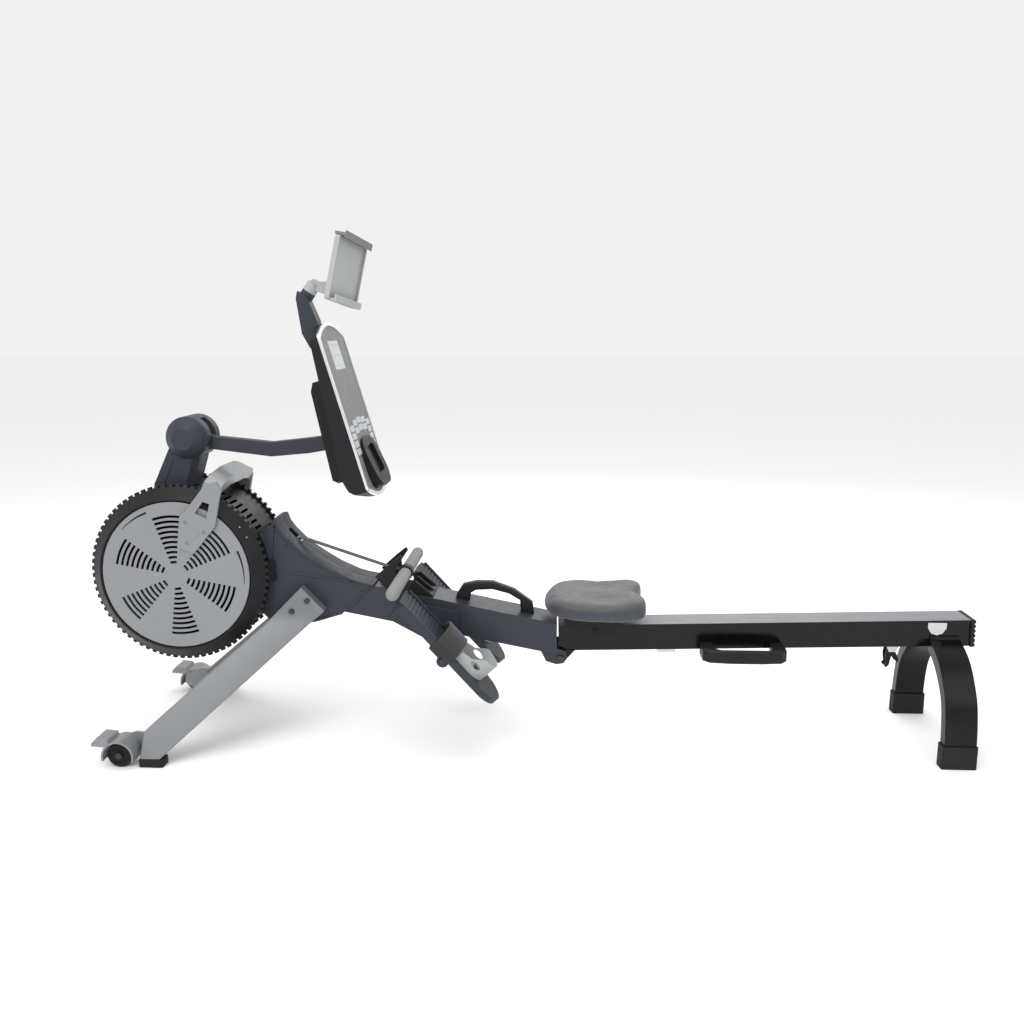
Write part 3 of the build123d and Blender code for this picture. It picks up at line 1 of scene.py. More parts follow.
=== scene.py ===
"""Folding air rower: finishes, edges, covers, seat and strap around its frame.

Lengths are in metres.  X runs along the machine with the fan at -X, Y runs
across it and Z is up.  The rower's left side is -Y.
"""

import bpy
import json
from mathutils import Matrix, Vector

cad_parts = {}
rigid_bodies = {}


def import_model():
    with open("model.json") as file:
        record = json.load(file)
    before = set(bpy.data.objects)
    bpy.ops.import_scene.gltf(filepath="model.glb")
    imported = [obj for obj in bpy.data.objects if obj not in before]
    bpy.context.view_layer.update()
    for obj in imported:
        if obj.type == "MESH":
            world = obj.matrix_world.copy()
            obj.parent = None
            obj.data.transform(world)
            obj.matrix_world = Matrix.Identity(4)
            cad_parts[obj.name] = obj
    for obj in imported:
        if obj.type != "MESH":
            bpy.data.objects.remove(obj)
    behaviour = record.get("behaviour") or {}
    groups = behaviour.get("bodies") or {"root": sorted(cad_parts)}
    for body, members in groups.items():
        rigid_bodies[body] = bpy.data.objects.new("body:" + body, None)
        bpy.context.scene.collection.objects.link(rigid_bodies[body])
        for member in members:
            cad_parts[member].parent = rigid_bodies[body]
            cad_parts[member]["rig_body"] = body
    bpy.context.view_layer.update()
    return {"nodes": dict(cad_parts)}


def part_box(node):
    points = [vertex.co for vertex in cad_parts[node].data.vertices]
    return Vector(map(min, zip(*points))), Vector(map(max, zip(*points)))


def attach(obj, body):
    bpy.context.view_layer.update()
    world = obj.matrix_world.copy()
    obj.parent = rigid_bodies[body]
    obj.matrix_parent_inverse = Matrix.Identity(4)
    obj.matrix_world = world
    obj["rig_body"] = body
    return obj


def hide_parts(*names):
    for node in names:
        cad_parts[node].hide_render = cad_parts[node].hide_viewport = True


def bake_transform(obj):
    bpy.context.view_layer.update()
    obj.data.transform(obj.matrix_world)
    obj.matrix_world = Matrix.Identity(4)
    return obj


bl_info = {
    "name": "Folding air rower",
    "version": (1, 0, 0),
    "blender": (4, 5, 0),
    "location": "3D View > Sidebar > Rower",
    "description": "Builds the visible pieces of a folding air rower",
    "category": "Add Mesh",
}

import json
import math

import bmesh
import bpy
from mathutils import Matrix, Vector

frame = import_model()

# ------------------------------------------------------------------ places
FAN = Vector((-0.878, 0, 0.440))
RAIL_SLOPE = math.tan(math.radians(1.58))
RAIL_FRONT = Vector((0.066, 0, 0.3004))
TRACK_HALF = 0.0398
BAR = Vector((-0.325, 0, 0.425))
STRAP_FROM = Vector((-0.5976, 0, 0.5157))
STRAP_TO = Vector((-0.3670, 0, 0.4387))
STRAP_TILT = -0.315
SEAT_MIDDLE = 0.158
SEAT_SIDE_TOP = 0.3635
SEAT_SIDE_CURVE = 0.85


def shade(red, green, blue):
    """A colour given in screen values, as linear light."""
    def linear(value):
        value /= 255
        if value < 0.04045:
            return value / 12.92
        return ((value + 0.055) / 1.055) ** 2.4
    return (linear(red), linear(green), linear(blue))


# ------------------------------------------------------------------ settings
def colour(label, words, default):
    return bpy.props.FloatVectorProperty(
        name=label, description=words, subtype="COLOR", size=3, min=0, max=1,
        default=default)


def length(label, words, default):
    return bpy.props.FloatProperty(
        name=label, description=words, subtype="DISTANCE", unit="LENGTH", min=0,
        default=default)


class RowerColours(bpy.types.PropertyGroup):
    """Colours of the rower's paints, plastics and soft parts."""
    slate: colour("Covers", "Covers, mast, footrests and frame tube",
                  shade(49, 53, 61))
    black: colour("Black plastic", "Fan cage, console's back and small mouldings",
                  shade(22, 23, 25))
    silver: colour("Silver", "Damper discs, their handle and the fenders",
                   shade(134, 136, 139))
    leg: colour("Front legs", "Paint on the front legs", shade(118, 121, 124))
    rail: colour("Rail", "Gloss paint on the rail and rear legs", shade(9, 9, 10))
    track: colour("Track", "Top face of the rail", shade(128, 129, 133))
    foam: colour("Grips", "Foam on the pull bar", shade(128, 129, 129))
    vinyl: colour("Seat", "Top of the seat's covering", shade(60, 61, 63))
    cup: colour("Heel cups", "Heel cups and the tablet tray", shade(158, 160, 161))
    grey: colour("Grey plastic", "Console face and the tablet clip",
                 shade(112, 113, 113))


class RowerSizes(bpy.types.PropertyGroup):
    """Sizes that change how the pieces look."""
    edge: length("Edge radius", "Rounding on moulded edges", 0.0016)
    cover_wall: length("Cover wall", "Thickness of the neck covers", 0.003)
    panel_inset: length("Panel border", "Border round the covers' sunk panels",
                        0.0065)
    seat_voxel: length("Seat voxel", "Grid that the seat is inflated on", 0.006)
    seat_cap: length("Seat swell", "How far the seat's skin may move", 0.005)
    strap_width: length("Strap width", "Width of the pull strap", 0.022)
    strap_thick: length("Strap thickness", "Thickness of the pull strap", 0.002)


# ------------------------------------------------------------------ materials
SATIN_SHINE = 0.22
RAIL_SHINE = 0.25


def nodes_of(name):
    """A new material, with its tree, its shader and the piece's coordinates."""
    made = bpy.data.materials.new(name)
    made.use_nodes = True
    tree = made.node_tree
    shader = tree.nodes["Principled BSDF"]
    place = tree.nodes.new("ShaderNodeTexCoord").outputs["Object"]
    return made, tree, shader, place


def noise(tree, place, scale, detail=2.0, stretch=None):
    """A noise pattern fixed to the piece, stretched if asked."""
    grain = tree.nodes.new("ShaderNodeTexNoise")
    grain.inputs["Scale"].default_value = scale
    grain.inputs["Detail"].default_value = detail
    if stretch:
        mapping = tree.nodes.new("ShaderNodeMapping")
        mapping.inputs["Scale"].default_value = stretch
        tree.links.new(place, mapping.inputs["Vector"])
        place = mapping.outputs["Vector"]
    tree.links.new(place, grain.inputs["Vector"])
    return grain.outputs["Fac"]


def between(tree, factor, low, high):
    """Maps a pattern onto the numbers from low to high."""
    spread = tree.nodes.new("ShaderNodeMapRange")
    spread.inputs["From Min"].default_value = 0.3
    spread.inputs["From Max"].default_value = 0.7
    spread.inputs["To Min"].default_value = low
    spread.inputs["To Max"].default_value = high
    tree.links.new(factor, spread.inputs["Value"])
    return spread.outputs["Result"]


def two_tone(tree, factor, first, second):
    """Goes from the first colour to the second as a pattern rises."""
    mix = tree.nodes.new("ShaderNodeMix")
    mix.data_type = "RGBA"
    mix.inputs["A"].default_value = (*first, 1)
    mix.inputs["B"].default_value = (*second, 1)
    tree.links.new(factor, mix.inputs["Factor"])
    return mix.outputs["Result"]


def raise_surface(tree, shader, height, distance, strength=1.0):
    """Gives the finish a fine relief."""
    bump = tree.nodes.new("ShaderNodeBump")
    bump.inputs["Strength"].default_value = strength
    bump.inputs["Distance"].default_value = distance
    tree.links.new(height, bump.inputs["Height"])
    tree.links.new(bump.outputs["Normal"], shader.inputs["Normal"])


def math_node(tree, kind, first, second):
    """One step of arithmetic on patterns or plain numbers."""
    node = tree.nodes.new("ShaderNodeMath")
    node.operation = kind
    for socket, value in zip(node.inputs, (first, second)):
        if isinstance(value, (int, float)):
            socket.default_value = value
        else:
            tree.links.new(value, socket)
    return node.outputs["Value"]


def dusty(tree, place, shader, tint, spread=0.06, rough=(0.4, 0.5), cloud=9.0):
    """Slight unevenness of colour and gloss over a large surface."""
    patches = noise(tree, place, cloud, 4.0)
    light = tuple(min(1, c * (1 + spread)) for c in tint)
    dark = tuple(c * (1 - spread) for c in tint)
    tree.links.new(two_tone(tree, patches, dark, light), shader.inputs["Base Color"])
    tree.links.new(between(tree, noise(tree, place, cloud * 5, 3.0), *rough),
                   shader.inputs["Roughness"])


def moulded(name, tint, rough=(0.42, 0.54), grain=1400.0, depth=0.00012):
    """Textured injection-moulded plastic."""
    made, tree, shader, place = nodes_of(name)
    dusty(tree, place, shader, tint, 0.07, rough)
    shader.inputs["Specular IOR Level"].default_value = SATIN_SHINE
    raise_surface(tree, shader, noise(tree, place, grain, 3.0), depth)
    return made


def painted(name, tint, metal=0.0, rough=(0.3, 0.4), coat=0.0, peel=260.0):
    """Powder coat or lacquer, with a faint orange peel."""
    made, tree, shader, place = nodes_of(name)
    dusty(tree, place, shader, tint, 0.04, rough, 6.0)
    shader.inputs["Specular IOR Level"].default_value = SATIN_SHINE
    shader.inputs["Metallic"].default_value = metal
    shader.inputs["Coat Weight"].default_value = coat
    shader.inputs["Coat Roughness"].default_value = 0.12
    raise_surface(tree, shader, noise(tree, place, peel, 2.0), 0.00006)
    return made


def brushed(name, tint, stretch, rough=(0.24, 0.4)):
    """Bare metal with fine scratches along one direction."""
    made, tree, shader, place = nodes_of(name)
    lines = noise(tree, place, 60.0, 4.0, stretch)
    tree.links.new(two_tone(tree, lines, tuple(c * 0.8 for c in tint), tint),
                   shader.inputs["Base Color"])
    tree.links.new(between(tree, lines, *rough), shader.inputs["Roughness"])
    shader.inputs["Metallic"].default_value = 1.0
    raise_surface(tree, shader, lines, 0.00005)
    return made


def rail_finish(paint, track):
    """Gloss paint, with a worn satin track along the rail's top face."""
    made, tree, shader, place = nodes_of("rail paint and track")
    parts = tree.nodes.new("ShaderNodeSeparateXYZ")
    tree.links.new(place, parts.inputs["Vector"])
    lift = math_node(tree, "MULTIPLY", parts.outputs["X"], -RAIL_SLOPE)
    height = math_node(tree, "ADD", parts.outputs["Z"], lift)
    floor = RAIL_FRONT.z - RAIL_FRONT.x * RAIL_SLOPE - 0.0012
    on_top = math_node(tree, "GREATER_THAN", height, floor)
    across = math_node(tree, "ABSOLUTE", parts.outputs["Y"], 0)
    inside = math_node(tree, "LESS_THAN", across, TRACK_HALF)
    mask = math_node(tree, "MULTIPLY", on_top, inside)
    streaks = noise(tree, place, 30.0, 4.0, (0.05, 3.0, 1.0))
    worn = two_tone(tree, streaks, tuple(c * 0.82 for c in track), track)
    base = tree.nodes.new("ShaderNodeMix")
    base.data_type = "RGBA"
    base.inputs["A"].default_value = (*paint, 1)
    tree.links.new(worn, base.inputs["B"])
    tree.links.new(mask, base.inputs["Factor"])
    tree.links.new(base.outputs["Result"], shader.inputs["Base Color"])
    gloss = math_node(tree, "MULTIPLY", mask, 0.26)
    haze = between(tree, noise(tree, place, 40.0, 3.0), 0.12, 0.2)
    tree.links.new(math_node(tree, "ADD", gloss, haze), shader.inputs["Roughness"])
    shader.inputs["Specular IOR Level"].default_value = RAIL_SHINE
    raise_surface(tree, shader, noise(tree, place, 240.0, 2.0), 0.00005)
    return made


def foam(name, tint):
    """Closed-cell foam, with fine pores."""
    made, tree, shader, place = nodes_of(name)
    dusty(tree, place, shader, tint, 0.1, (0.78, 0.9), 30.0)
    pores = tree.nodes.new("ShaderNodeTexVoronoi")
    pores.inputs["Scale"].default_value = 1100
    tree.links.new(place, pores.inputs["Vector"])
    raise_surface(tree, shader, pores.outputs["Distance"], 0.0005, 0.8)
    return made


def grained_vinyl(name, tint, side):
    """Seat covering with a leather-like grain, darker round its side."""
    made, tree, shader, place = nodes_of(name)
    cells = tree.nodes.new("ShaderNodeTexVoronoi")
    cells.feature = "DISTANCE_TO_EDGE"
    cells.inputs["Scale"].default_value = 420
    tree.links.new(place, cells.inputs["Vector"])
    dusty(tree, place, shader, tint, 0.12, (0.46, 0.62), 14.0)
    parts = tree.nodes.new("ShaderNodeSeparateXYZ")
    tree.links.new(place, parts.inputs["Vector"])
    back = math_node(tree, "SUBTRACT", parts.outputs["X"], SEAT_MIDDLE)
    square = math_node(tree, "MULTIPLY", back, back)
    lift = math_node(tree, "MULTIPLY", square, SEAT_SIDE_CURVE)
    height = math_node(tree, "SUBTRACT", parts.outputs["Z"], lift)
    on_top = math_node(tree, "GREATER_THAN", height, SEAT_SIDE_TOP)
    mix = tree.nodes.new("ShaderNodeMix")
    mix.data_type = "RGBA"
    mix.inputs["A"].default_value = (*side, 1)
    top = shader.inputs["Base Color"].links[0].from_socket
    tree.links.new(top, mix.inputs["B"])
    tree.links.new(on_top, mix.inputs["Factor"])
    tree.links.new(mix.outputs["Result"], shader.inputs["Base Color"])
    shader.inputs["Sheen Weight"].default_value = 0.15
    both = math_node(tree, "ADD", cells.outputs["Distance"],
                     math_node(tree, "MULTIPLY", noise(tree, place, 160.0, 3.0), 0.4))
    raise_surface(tree, shader, both, 0.0006, 0.7)
    return made


def woven(name, tint, thread=0.0011):
    """Webbing: threads that cross over and under each other."""
    made, tree, shader, place = nodes_of(name)
    turn = tree.nodes.new("ShaderNodeMapping")
    turn.inputs["Rotation"].default_value = (0, STRAP_TILT, 0)
    tree.links.new(place, turn.inputs["Vector"])
    along = []
    for direction in ("X", "Y"):
        wave = tree.nodes.new("ShaderNodeTexWave")
        wave.bands_direction = direction
        wave.inputs["Scale"].default_value = 1 / (thread * 20)
        tree.links.new(turn.outputs["Vector"], wave.inputs["Vector"])
        along.append(wave.outputs["Fac"])
    cloth = math_node(tree, "MULTIPLY", *along)
    tree.links.new(two_tone(tree, cloth, tuple(c * 0.6 for c in tint), tint),
                   shader.inputs["Base Color"])
    shader.inputs["Roughness"].default_value = 0.85
    shader.inputs["Sheen Weight"].default_value = 0.2
    raise_surface(tree, shader, cloth, 0.0004)
    return made


def display_glass():
    """Liquid-crystal window with faint cells behind it."""
    made, tree, shader, place = nodes_of("display")
    cells = tree.nodes.new("ShaderNodeTexBrick")
    cells.inputs["Scale"].default_value = 34
    cells.inputs["Mortar Size"].default_value = 0.012
    cells.inputs["Color1"].default_value = (*shade(176, 182, 180), 1)
    cells.inputs["Color2"].default_value = (*shade(170, 177, 176), 1)
    cells.inputs["Mortar"].default_value = (*shade(146, 152, 152), 1)
    turn = tree.nodes.new("ShaderNodeMapping")
    turn.inputs["Rotation"].default_value = (0, 0, math.pi / 2)
    tree.links.new(place, turn.inputs["Vector"])
    tree.links.new(turn.outputs["Vector"], cells.inputs["Vector"])
    tree.links.new(cells.outputs["Color"], shader.inputs["Base Color"])
    shader.inputs["Roughness"].default_value = 0.14
    shader.inputs["Coat Weight"].default_value = 0.6
    return made


FINISH = {}


def mix_finishes(tints):
    """All of the rower's finishes, by name."""
    FINISH.update({
        "slate": moulded("slate moulding", tints.slate),
        "tube": painted("slate paint", tints.slate, 0.15, (0.34, 0.44), 0.1),
        "cage": moulded("cage moulding", tints.black, (0.36, 0.5), 1200.0),
        "black": moulded("black moulding", tints.black, (0.4, 0.55)),
        "silver": painted("silver paint", tints.silver, 0.35, (0.34, 0.44), 0.15),
        "leg": painted("leg paint", tints.leg, 0.4, (0.3, 0.42), 0.2),
        "rail": rail_finish(tints.rail, tints.track),
        "gloss": painted("black gloss paint", tints.rail, 0.0, (0.2, 0.3), 0.0),
        "foam": foam("grip foam", tints.foam),
        "vinyl": grained_vinyl("seat vinyl", tints.vinyl, tints.slate),
        "grey": moulded("grey moulding", tints.grey),
        "cup": moulded("heel cup moulding", tints.cup),
        "webbing": woven("black webbing", shade(46, 46, 50)),
        "rubber": moulded("rubber", shade(30, 30, 31), (0.6, 0.78), 700.0, 0.0003),
        "zinc": brushed("zinc plate", shade(205, 206, 208), (1.0, 0.1, 1.0)),
        "dark steel": brushed("blackened steel", shade(70, 71, 74),
                              (1.0, 0.1, 1.0)),
        "steel": brushed("turned steel", shade(180, 181, 185), (2.0, 0.05, 2.0)),
        "trim": painted("bright trim", shade(214, 216, 220), 0.75, (0.16, 0.26), 0.3),
        "keys": moulded("key caps", shade(176, 179, 182), (0.36, 0.46)),
        "display": display_glass(),
        # painted highlight: near-white colour of the dots that stand for glints on the
        # cage's pins
        "pin_glint_paint": moulded("painted pin glints", shade(222, 223, 224), (0.5, 0.6)),
    })


# ------------------------------------------------------------------ making pieces
def place_piece(mesh, name, finish, body, replaced=()):
    """Links a mesh as a named piece that rides on a body."""
    piece = bpy.data.objects.new(name, mesh)
    bpy.context.scene.collection.objects.link(piece)
    mesh.materials.clear()
    mesh.materials.append(FINISH[finish])
    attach(piece, body)
    if replaced:
        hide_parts(*replaced)
    return piece


def mesh_from(bm, name, smooth_angle=35):
    """Turns a bmesh into a mesh with smooth faces and sharp folds."""
    mesh = bpy.data.meshes.new(name)
    for face in bm.faces:
        face.smooth = True
    bm.to_mesh(mesh)
    bm.free()
    mesh.set_sharp_from_angle(angle=math.radians(smooth_angle))
    return mesh


def paint_node(node, finish):
    """A frame node whose shape is right keeps it and gets its finish."""
    target = frame["nodes"][node]
    target.data.materials.clear()
    target.data.materials.append(FINISH[finish])


def rounded(node, finish, radius, angle=38, segments=2):
    """A frame node with its edges rounded over."""
    source = frame["nodes"][node]
    bm = bmesh.new()
    bm.from_mesh(source.data)
    bmesh.ops.remove_doubles(bm, verts=bm.verts, dist=1e-5)
    bmesh.ops.dissolve_limit(bm, angle_limit=math.radians(0.6), verts=bm.verts,
                             edges=bm.edges, use_dissolve_boundaries=False)
    folds = [e for e in bm.edges if len(e.link_faces) == 2
             and e.calc_face_angle(0) > math.radians(angle)]
    bmesh.ops.bevel(bm, geom=folds, offset=radius, offset_type="OFFSET",
                    segments=segments, profile=0.5, affect="EDGES",
                    clamp_overlap=True, material=-1)
    bmesh.ops.triangulate(bm, faces=[f for f in bm.faces if len(f.verts) > 4])
    mesh = mesh_from(bm, node + "_finished", 50)
    piece = place_piece(mesh, node + "_finished", finish, source["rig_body"],
                        (node,))
    weighted = piece.modifiers.new("even shading", "WEIGHTED_NORMAL")
    weighted.keep_sharp = True
    return piece


class RowerOperator(bpy.types.Operator):
    bl_options = {"REGISTER", "UNDO"}

    @property
    def sizes(self):
        return bpy.context.scene.rower_sizes

    def round_all(self, nodes, finish, radius=None, **how):
        for node in nodes:
            rounded(node, finish, radius or self.sizes.edge, **how)
        return {"FINISHED"}


# each lamp's name, place, aim, size and power
LAMPS = (("key", (-1.6, -2.6, 3.2), (-0.2, 0, 0.4), 2.4, 62),
         ("fill", (2.6, -2.2, 1.9), (0.1, 0, 0.5), 2.0, 16),
         ("back", (0.4, 2.9, 2.6), (0, 0, 0.5), 2.6, 30),
         ("top", (-0.1, -0.2, 3.6), (0, 0, 0.3), 2.8, 44))
SKY_STRENGTH = 0.88
SENSOR_WIDTH = 36
LENS_LENGTH = 33.887
CAMERA_PLACE = (0.0564, -2.3847, 1.0469)
CAMERA_TURN = (math.radians(79.023), 0, math.radians(2.625))


class ROWER_OT_stage(RowerOperator):
    """Set up the floor, the lights and the camera"""
    bl_idname = "rower.stage"
    bl_label = "Stage"

    def execute(self, context):
        bm = bmesh.new()
        bmesh.ops.create_grid(bm, x_segments=1, y_segments=1, size=30)
        floor = bpy.data.objects.new("floor", mesh_from(bm, "floor"))
        context.scene.collection.objects.link(floor)
        pale, tree, shader, place = nodes_of("pale floor")
        dusty(tree, place, shader, shade(252, 252, 252), 0.004, (0.6, 0.7), 1.2)
        floor.data.materials.append(pale)

        world = bpy.data.worlds.new("soft sky")
        world.use_nodes = True
        sky = world.node_tree.nodes["Background"]
        sky.inputs["Color"].default_value = (1.0, 1.0, 1.0, 1)
        sky.inputs["Strength"].default_value = SKY_STRENGTH
        context.scene.world = world
        for name, where, aim, size, power in LAMPS:
            light = bpy.data.lights.new(name, "AREA")
            light.size = size
            light.energy = power
            lamp = bpy.data.objects.new(name, light)
            lamp.location = where
            beam = Vector(aim) - Vector(where)
            lamp.rotation_euler = beam.to_track_quat("-Z", "Y").to_euler()
            context.scene.collection.objects.link(lamp)

        lens = bpy.data.cameras.new("camera")
        lens.sensor_width = SENSOR_WIDTH
        lens.lens = LENS_LENGTH
        camera = bpy.data.objects.new("camera", lens)
        camera.location = CAMERA_PLACE
        camera.rotation_euler = CAMERA_TURN
        context.scene.collection.objects.link(camera)
        context.scene.camera = camera
        context.scene.view_settings.view_transform = "Standard"
        return {"FINISHED"}


class ROWER_OT_pull_strap(RowerOperator):
    """Make the woven strap between its guide roller and the pull bar"""
    bl_idname = "rower.pull_strap"
    bl_label = "Pull strap"

    def execute(self, context):
        run = STRAP_TO - STRAP_FROM
        up = run.cross(Vector((0, 1, 0))).normalized()
        half, thick = self.sizes.strap_width / 2, self.sizes.strap_thick / 2
        bm = bmesh.new()
        corners = [STRAP_FROM + Vector((0, side * half, 0)) + up * lift * thick
                   for side, lift in ((-1, -1), (1, -1), (1, 1), (-1, 1))]
        end = bm.faces.new([bm.verts.new(c) for c in corners])
        bmesh.ops.recalc_face_normals(bm, faces=[end])
        steps = 24
        face = end
        for _ in range(steps):
            grown = bmesh.ops.extrude_face_region(bm, geom=[face])
            moved = [g for g in grown["geom"] if isinstance(g, bmesh.types.BMVert)]
            bmesh.ops.translate(bm, verts=moved, vec=run / steps)
            if face is not end:
                bm.faces.remove(face)
            face = next(g for g in grown["geom"] if isinstance(g, bmesh.types.BMFace))
        bmesh.ops.recalc_face_normals(bm, faces=bm.faces)
        strap = bpy.data.objects.new("woven_strap", mesh_from(bm, "woven_strap"))
        context.scene.collection.objects.link(strap)
        strap.data.materials.append(FINISH["webbing"])
        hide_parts("pull_strap")
        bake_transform(strap)
        return {"FINISHED"}


COVER_TOP = ((-0.652, 0.558), (-0.646, 0.5645), (-0.641, 0.564), (-0.634, 0.545),
             (-0.622, 0.5285), (-0.608, 0.5135), (-0.592, 0.498), (-0.574, 0.4833),
             (-0.551, 0.468), (-0.528, 0.4535), (-0.505, 0.440), (-0.480, 0.4286),
             (-0.456, 0.418), (-0.430, 0.411), (-0.407, 0.407), (-0.397, 0.407))
COVER_REAR = ((-0.420, 0.385), (-0.447, 0.358), (-0.482, 0.328))
COVER_BASE = ((-0.505, 0.321), (-0.530, 0.313), (-0.555, 0.306), (-0.610, 0.3075),
              (-0.668, 0.312))
COVER_HALF = 0.0597
# how far out from the middle each row of the crown is, and how far it rises
COVER_STEPS = ((0.0585, 0.0028), (0.053, 0.0052), (0.040, 0.0072), (0.0265, 0.0085),
               (0.014, 0.0089), (0.0004, 0.009))
COVER_BELLY = 0.3
CAGE_RADIUS = 0.2158
CAGE_HEIGHTS = (0.335, 0.36, 0.39, 0.42, 0.45, 0.48, 0.51, 0.54)
SEAM_PLACE = (-0.62, 0, 0.4375)
SEAM_NORMAL = (0.135, 0, 0.99)
STRAP_SLOT = (-0.622, -0.592)
STRAP_SLOT_HALF = 0.0141


def cage_side(height):
    """The covers' edge beside the fan cage, at a height."""
    reach = math.sqrt(CAGE_RADIUS ** 2 - (height - FAN.z) ** 2)
    return (FAN.x + reach, height)


class ROWER_OT_neck_covers(RowerOperator):
    """Make the two crowned covers with their sunk side panels"""
    bl_idname = "rower.neck_covers"
    bl_label = "Neck covers"

    def execute(self, context):
        edge = tuple(cage_side(height) for height in CAGE_HEIGHTS)
        outline = COVER_TOP + COVER_REAR + COVER_BASE + edge
        span = COVER_TOP[-1][0] - COVER_TOP[2][0]
        for side, sign in (("left", -1), ("right", 1)):
            bm = bmesh.new()
            ring = [bm.verts.new((x, sign * COVER_HALF, z)) for x, z in outline]
            bm.faces.new(ring)
            top = set(ring[:len(COVER_TOP)])
            base = set(ring[len(COVER_TOP) + len(COVER_REAR) - 1:
                            len(COVER_TOP) + len(COVER_REAR) + len(COVER_BASE)])
            for group in (top, base):
                row = [e for e in bm.edges if group.issuperset(e.verts)]
                before = 0
                for out, lift in COVER_STEPS:
                    grown = bmesh.ops.extrude_edge_only(bm, edges=row)["geom"]
                    row = [g for g in grown if isinstance(g, bmesh.types.BMEdge)]
                    verts = [g for g in grown if isinstance(g, bmesh.types.BMVert)]
                    for vert in verts:
                        vert.co.y = sign * out
                        share = min(1, max(0, (COVER_TOP[-1][0] - vert.co.x) / span))
                        if group is base:
                            share = -COVER_BELLY
                        vert.co.z += (lift - before) * share
                    before = lift
            # the seam that parts the upper side panel from the lower one
            flat = [f for f in bm.faces if len(f.verts) > 6]
            geom = flat + list({e for f in flat for e in f.edges}) + \
                list({v for f in flat for v in f.verts})
            bmesh.ops.bisect_plane(bm, geom=geom, plane_co=SEAM_PLACE,
                                   plane_no=SEAM_NORMAL, dist=1e-5)
            panels = [f for f in bm.faces
                      if abs(f.normal.y) > 0.99 and len(f.verts) > 6]
            bmesh.ops.recalc_face_normals(bm, faces=bm.faces)
            border = self.sizes.panel_inset
            bmesh.ops.inset_individual(bm, faces=panels, thickness=border * 0.75,
                                       depth=0)
            bmesh.ops.inset_individual(bm, faces=panels, thickness=0.002,
                                       depth=-0.0018)
            # the strap's way out through the top
            for x in STRAP_SLOT:
                bmesh.ops.bisect_plane(
                    bm, geom=bm.verts[:] + bm.edges[:] + bm.faces[:],
                    plane_co=(x, 0, 0), plane_no=(1, 0, 0), dist=1e-5)
            slot = [f for f in bm.faces
                    if STRAP_SLOT[0] < f.calc_center_median().x < STRAP_SLOT[1]
                    and abs(f.calc_center_median().y) < STRAP_SLOT_HALF
                    and f.normal.z > 0.2]
            bmesh.ops.delete(bm, geom=slot, context="FACES")
            name = f"neck_cover_{side}"
            piece = place_piece(mesh_from(bm, name, 30), name, "slate", "frame",
                                (f"drive_cover_{side}",))
            wall = piece.modifiers.new("wall", "SOLIDIFY")
            wall.thickness = self.sizes.cover_wall
            wall.offset = -1
            soft = piece.modifiers.new("soft edges", "BEVEL")
            soft.width = 0.0012
            soft.segments = 2
            soft.limit_method = "ANGLE"
            soft.angle_limit = math.radians(40)
        return {"FINISHED"}


# painted highlights: angles, radius and size of the white dots that stand for glints on
# the cage's pins
GLINT_ANGLES = (28.2, 36.6)
GLINT_RADIUS = 0.203
GLINT_SIZE = (0.005, 0.0006, 0.0028)
WEDGE_ARCS = ((112, 138), (22, -7))
WEDGE_RADIUS = 0.172
WEDGE_STEPS = 12


def pin_glint_dots(sign):
    """Painted highlights: white dots on the cage's ring beside the disc, standing for
    the glints on its pins.
    """
    bm = bmesh.new()
    tilt = Matrix.Rotation(math.radians(sign * 43), 4, "Z")
    for angle in GLINT_ANGLES:
        turn = Matrix.Rotation(math.radians(-angle), 4, "Y")
        here = Matrix.Translation(FAN) @ turn @ Matrix.Translation(
            (GLINT_RADIUS, sign * 0.1099, 0))
        bmesh.ops.create_cube(bm, size=1, matrix=here @ tilt @ Matrix.Diagonal(
            (*GLINT_SIZE, 1)))
    return bm


def level_wedges(sign):
    """Narrowing wedges printed along the disc's edge."""
    bm = bmesh.new()
    low, high = Vector((0, sign * 0.1198, 0)), Vector((0, sign * 0.1203, 0))
    for start, end in WEDGE_ARCS:
        rings = []
        for i in range(WEDGE_STEPS + 1):
            share = i / WEDGE_STEPS
            angle = math.radians(start + (end - start) * share)
            ray = Vector((math.cos(angle), 0, math.sin(angle)))
            wide = 0.0012 + 0.0042 * (1 - share)
            rim, inner = FAN + ray * WEDGE_RADIUS, FAN + ray * (WEDGE_RADIUS - wide)
            rings.append([bm.verts.new(place) for place in
                          (rim + low, inner + low, inner + high, rim + high)])
        for one, two in zip(rings, rings[1:]):
            for k in range(4):
                bm.faces.new((one[k], one[k - 1], two[k - 1], two[k]))
        bm.faces.new(rings[0])
        bm.faces.new(rings[-1])
    bmesh.ops.recalc_face_normals(bm, faces=bm.faces)
    return bm


class ROWER_OT_fan(RowerOperator):
    """Finish the fan, its cage, the damper discs and their handle"""
    bl_idname = "rower.fan"
    bl_label = "Fan and damper"

    def execute(self, context):
        for node in ("fan_shroud_left", "fan_shroud_right"):
            paint_node(node, "cage")
        for node in ("fan_wheel", "drive_pulley", "strap_spool", "recoil_spring",
                     "fan_forks"):
            paint_node(node, "black")
        for node in ("drive_axles", "magnet_bracket"):
            paint_node(node, "steel")
        paint_node("drive_belt", "rubber")
        for node in ("damper_disc_left", "damper_disc_right"):
            paint_node(node, "silver")
        rounded("resistance_handle", "silver", 0.002)
        for side, sign in (("left", -1), ("right", 1)):
            # white dots painted as highlights where the cage's pins catch the light
            name = f"pin_glint_dots_{side}"
            place_piece(mesh_from(pin_glint_dots(sign), name), name, "pin_glint_paint", "frame")
            name = f"level_wedges_{side}"
            place_piece(mesh_from(level_wedges(sign), name), name, "rubber", "damper")
        return {"FINISHED"}


